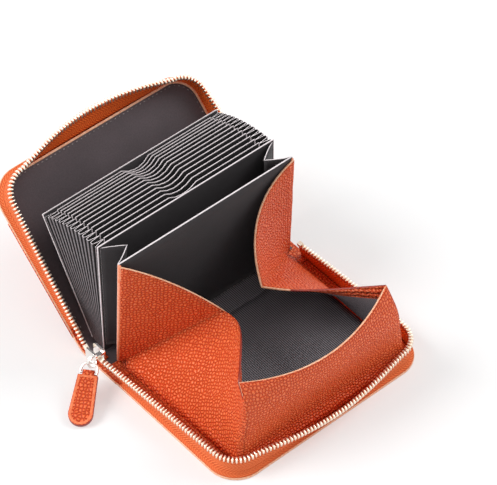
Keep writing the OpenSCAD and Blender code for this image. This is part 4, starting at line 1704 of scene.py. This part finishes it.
@dataclass
class Pull:
    """The leather pull on its ring, and the metal parts that carry it."""

    length: float = 24.5
    width: float = 10.8
    top_w: float = 8.8
    thick: float = 2.2
    hem_w: float = 5.0
    roll_r: float = 1.5
    bore_r: float = 0.85
    border_w: float = 1.05
    edge_round: float = 0.14
    root: Vector = field(default_factory=lambda: Vector((-65.240, 43.801, 8.622)))
    yaw: float = math.radians(40)
    slope: float = math.radians(17.6)

    @property
    def matrix(self) -> Matrix:
        """From the pull's own plan to its place at rest."""
        return (
            Matrix.Translation(self.root)
            @ Matrix.Rotation(self.yaw, 4, "Z")
            @ Matrix.Rotation(-self.slope, 4, "Y")
        )

    def tongue(self) -> bmesh.types.BMesh:
        """Makes the tongue: a rounded strip whose face sinks inside its edge."""
        bm = bmesh.new()
        r, top = self.width / 2, self.top_w / 2
        end = r - self.length
        corners = [(-1.1, -self.hem_w / 2), (-1.1, self.hem_w / 2), (-1.25, top), (end, r)]
        for i in range(1, 16):
            turn = math.pi / 2 + math.pi * i / 16
            corners.append((end + r * math.cos(turn), r * math.sin(turn)))
        corners += [(end, -r), (-1.25, -top)]
        bm.faces.new([bm.verts.new((x, y, -self.thick / 2)) for x, y in corners])
        Maker.raise_up(bm, self.thick)
        bmesh.ops.recalc_face_normals(bm, faces=bm.faces)
        for face in bm.faces:
            face.material_index = int(abs(face.normal.z) < 0.5)
        flat = [f for f in bm.faces if abs(f.normal.z) > 0.5]
        bmesh.ops.inset_region(bm, faces=flat, thickness=0.3, depth=0.12, use_even_offset=True)
        ring = bmesh.ops.inset_region(
            bm, faces=flat, thickness=self.border_w, use_even_offset=True
        )
        # The border band takes the paler smooth leather, partly painted highlight.
        for face in ring["faces"]:
            face.material_index = 2
        bmesh.ops.inset_region(bm, faces=flat, thickness=0.2, depth=-0.22, use_even_offset=True)
        bmesh.ops.inset_region(bm, faces=flat, thickness=0.2, depth=0.2, use_even_offset=True)
        return bm

    def roll(self) -> bmesh.types.BMesh:
        """Makes the roll of leather round the ring's bar."""
        bm = bmesh.new()
        side = self.hem_w / 2
        start = [bm.verts.new((self.bore_r, y, 0)) for y in (-side, side)]
        far = [bm.verts.new((self.roll_r, y, 0)) for y in (side, -side)]
        face = bm.faces.new([*start, *far])
        bmesh.ops.spin(
            bm,
            geom=[face, *face.edges, *face.verts],
            cent=(0, 0, 0),
            axis=(0, 1, 0),
            angle=math.tau,
            steps=24,
            use_merge=True,
            use_duplicate=False,
        )
        bmesh.ops.remove_doubles(bm, verts=bm.verts, dist=0.0005)
        return bm

    def build(self) -> None:
        """Makes the tongue and the roll, and dresses the metal that stays in sight."""
        bm = self.tongue()
        Maker.flat_map(bm)
        bmesh.ops.transform(bm, matrix=self.matrix, verts=bm.verts)
        looks = [Look.SOFT_LEATHER, Look.DARK_EDGE, Look.BORDER]
        made = Maker.piece(bm, "pull_tongue", looks, outward=True)
        Maker.soften(made, self.edge_round)
        Maker.settle(made, "pull_tab", "outer_leather", "pull_tab_face", "pull_tab_back")
        bm = self.roll()
        Maker.flat_map(bm, (0.7, 0.0, 0.7))
        bmesh.ops.transform(bm, matrix=self.matrix, verts=bm.verts)
        made = Maker.piece(bm, "pull_roll", [Look.SOFT_LEATHER], outward=True)
        Maker.settle(made, "pull_tab", "outer_leather")
        for name in ("slider_body", "slider_bridge", "pull_ring"):
            Maker.dress(name, Look.BRIGHT)
        for name in ("lower_zip_stops", "upper_zip_stops"):
            Maker.dress(name, Look.METAL)


@dataclass
class Studio:
    """Floor, light and camera."""

    aim: Vector = field(default_factory=lambda: Vector((41.92, 62.87, 0.0)))
    seat: Vector = field(default_factory=lambda: Vector((-535.14, -604.73, 951.41)))
    lens: float = 208.3
    dome: float = 0.52
    key: float = 2.0
    key_way: tuple[float, float, float] = (0.60, -0.47, -0.64)
    fill: float = 1.1
    fill_way: tuple[float, float, float] = (-0.70, 0.25, -0.66)
    softness: float = math.radians(32)
    floor_half: float = 2500.0
    floor_drop: float = 0.02
    floor_tone: float = 0.93
    floor_glow: float = 1.12
    glow_share: float = 0.34

    def floor(self) -> None:
        """Makes the pale floor."""
        bm = bmesh.new()
        bmesh.ops.create_grid(bm, x_segments=1, y_segments=1, size=self.floor_half)
        bmesh.ops.translate(bm, vec=(0, 0, -self.floor_drop), verts=bm.verts)
        bench = Bench("pale_floor")
        grain = bench.noise(bench.place(), 40.0)
        tone = self.floor_tone
        colour = bench.mixed(grain, (tone - 0.015, tone, tone + 0.005), (tone + 0.02,) * 3)
        bench.feed(bench.shader.inputs["Base Color"], colour)
        bench.plain({"Roughness": 0.9, "Specular IOR Level": 0.0})
        glow = bench.node("ShaderNodeEmission", {}, {"Strength": self.floor_glow})
        both = bench.node(
            "ShaderNodeMixShader",
            {},
            {0: bench.seen() * self.glow_share, 1: bench.shader.outputs[0], 2: glow.outputs[0]},
        )
        bench.feed(bench.tree.nodes["Material Output"].inputs["Surface"], both.outputs[0])
        made = Maker.piece(bm, "studio_floor", [], smooth=False)
        made.data.materials.append(bench.owner)
        made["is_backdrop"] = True

    def sky(self) -> None:
        """Lights the scene evenly, with a white background for the camera."""
        world = bpy.data.worlds.new("studio")
        bpy.context.scene.world = world
        bench = Bench("studio", world)
        strength = bench.seen() * (1 - self.dome) + self.dome
        bench.plain({"Color": (1.0, 1.0, 1.0), "Strength": strength})

    def lamp(self, name: str, strength: float, way: tuple[float, float, float]) -> None:
        """Adds a soft far lamp that shines one way."""
        data = bpy.data.lights.new(name, "SUN")
        data.energy = strength
        data.angle = self.softness
        lamp = bpy.data.objects.new(name, data)
        lamp.rotation_mode = "QUATERNION"
        lamp.rotation_quaternion = Vector(way).to_track_quat("-Z", "Y")
        bpy.context.scene.collection.objects.link(lamp)

    def camera(self) -> None:
        """Sets the camera at the photograph's viewing angle."""
        data = bpy.data.cameras.new("view")
        data.sensor_width = 36.0
        data.lens = self.lens
        data.clip_start = 0.05
        data.clip_end = 20.0
        seat = bpy.data.objects.new("view", data)
        seat.location = self.seat * MM
        seat.rotation_mode = "QUATERNION"
        seat.rotation_quaternion = (self.aim - self.seat).to_track_quat("-Z", "Y")
        bpy.context.scene.collection.objects.link(seat)
        bpy.context.scene.camera = seat
        bpy.context.scene.view_settings.view_transform = "Standard"

    def build(self) -> None:
        """Sets the stage."""
        self.floor()
        self.sky()
        self.lamp("soft_key", self.key, self.key_way)
        self.lamp("soft_fill", self.fill, self.fill_way)
        self.camera()


def corners(box: tuple[Vector, Vector]) -> list[list[float]]:
    """A box as plain lists."""
    return [[round(value, 6) for value in corner] for corner in box]


def main() -> None:
    """Builds the wallet's looks in order."""
    logging.basicConfig(level=logging.INFO, format="%(message)s")
    solids = corners(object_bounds())
    lower, upper = PLAN.on_lower(), PLAN.on_upper()
    parts = [
        Studio(),
        LowerCover("lower", lower),
        UpperCover("upper", upper),
        ZipSide(
            "lower",
            lower,
            left=Rim(tail=PLAN.tail, lean=21, edge_lean=33, fade=1.0),
            right=Rim(tail=0.0, lean=-14, edge_lean=33, fade=1.5),
        ),
        ZipSide(
            "upper",
            upper,
            left=Rim(tail=PLAN.tail - PLAN.tail_cut, lean=21, edge_lean=46, fade=0.8),
            right=Rim(tail=0.0, lean=21, edge_lean=46, fade=0.8),
        ),
        Spine(),
        Accordion(),
        CoinPouch(),
        Pull(),
    ]
    for part in parts:
        part.build()
        log.info("%s is done", type(part).__name__)
    {"solids": solids, "looks": corners(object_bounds())}


if __name__ == "__main__":
    main()
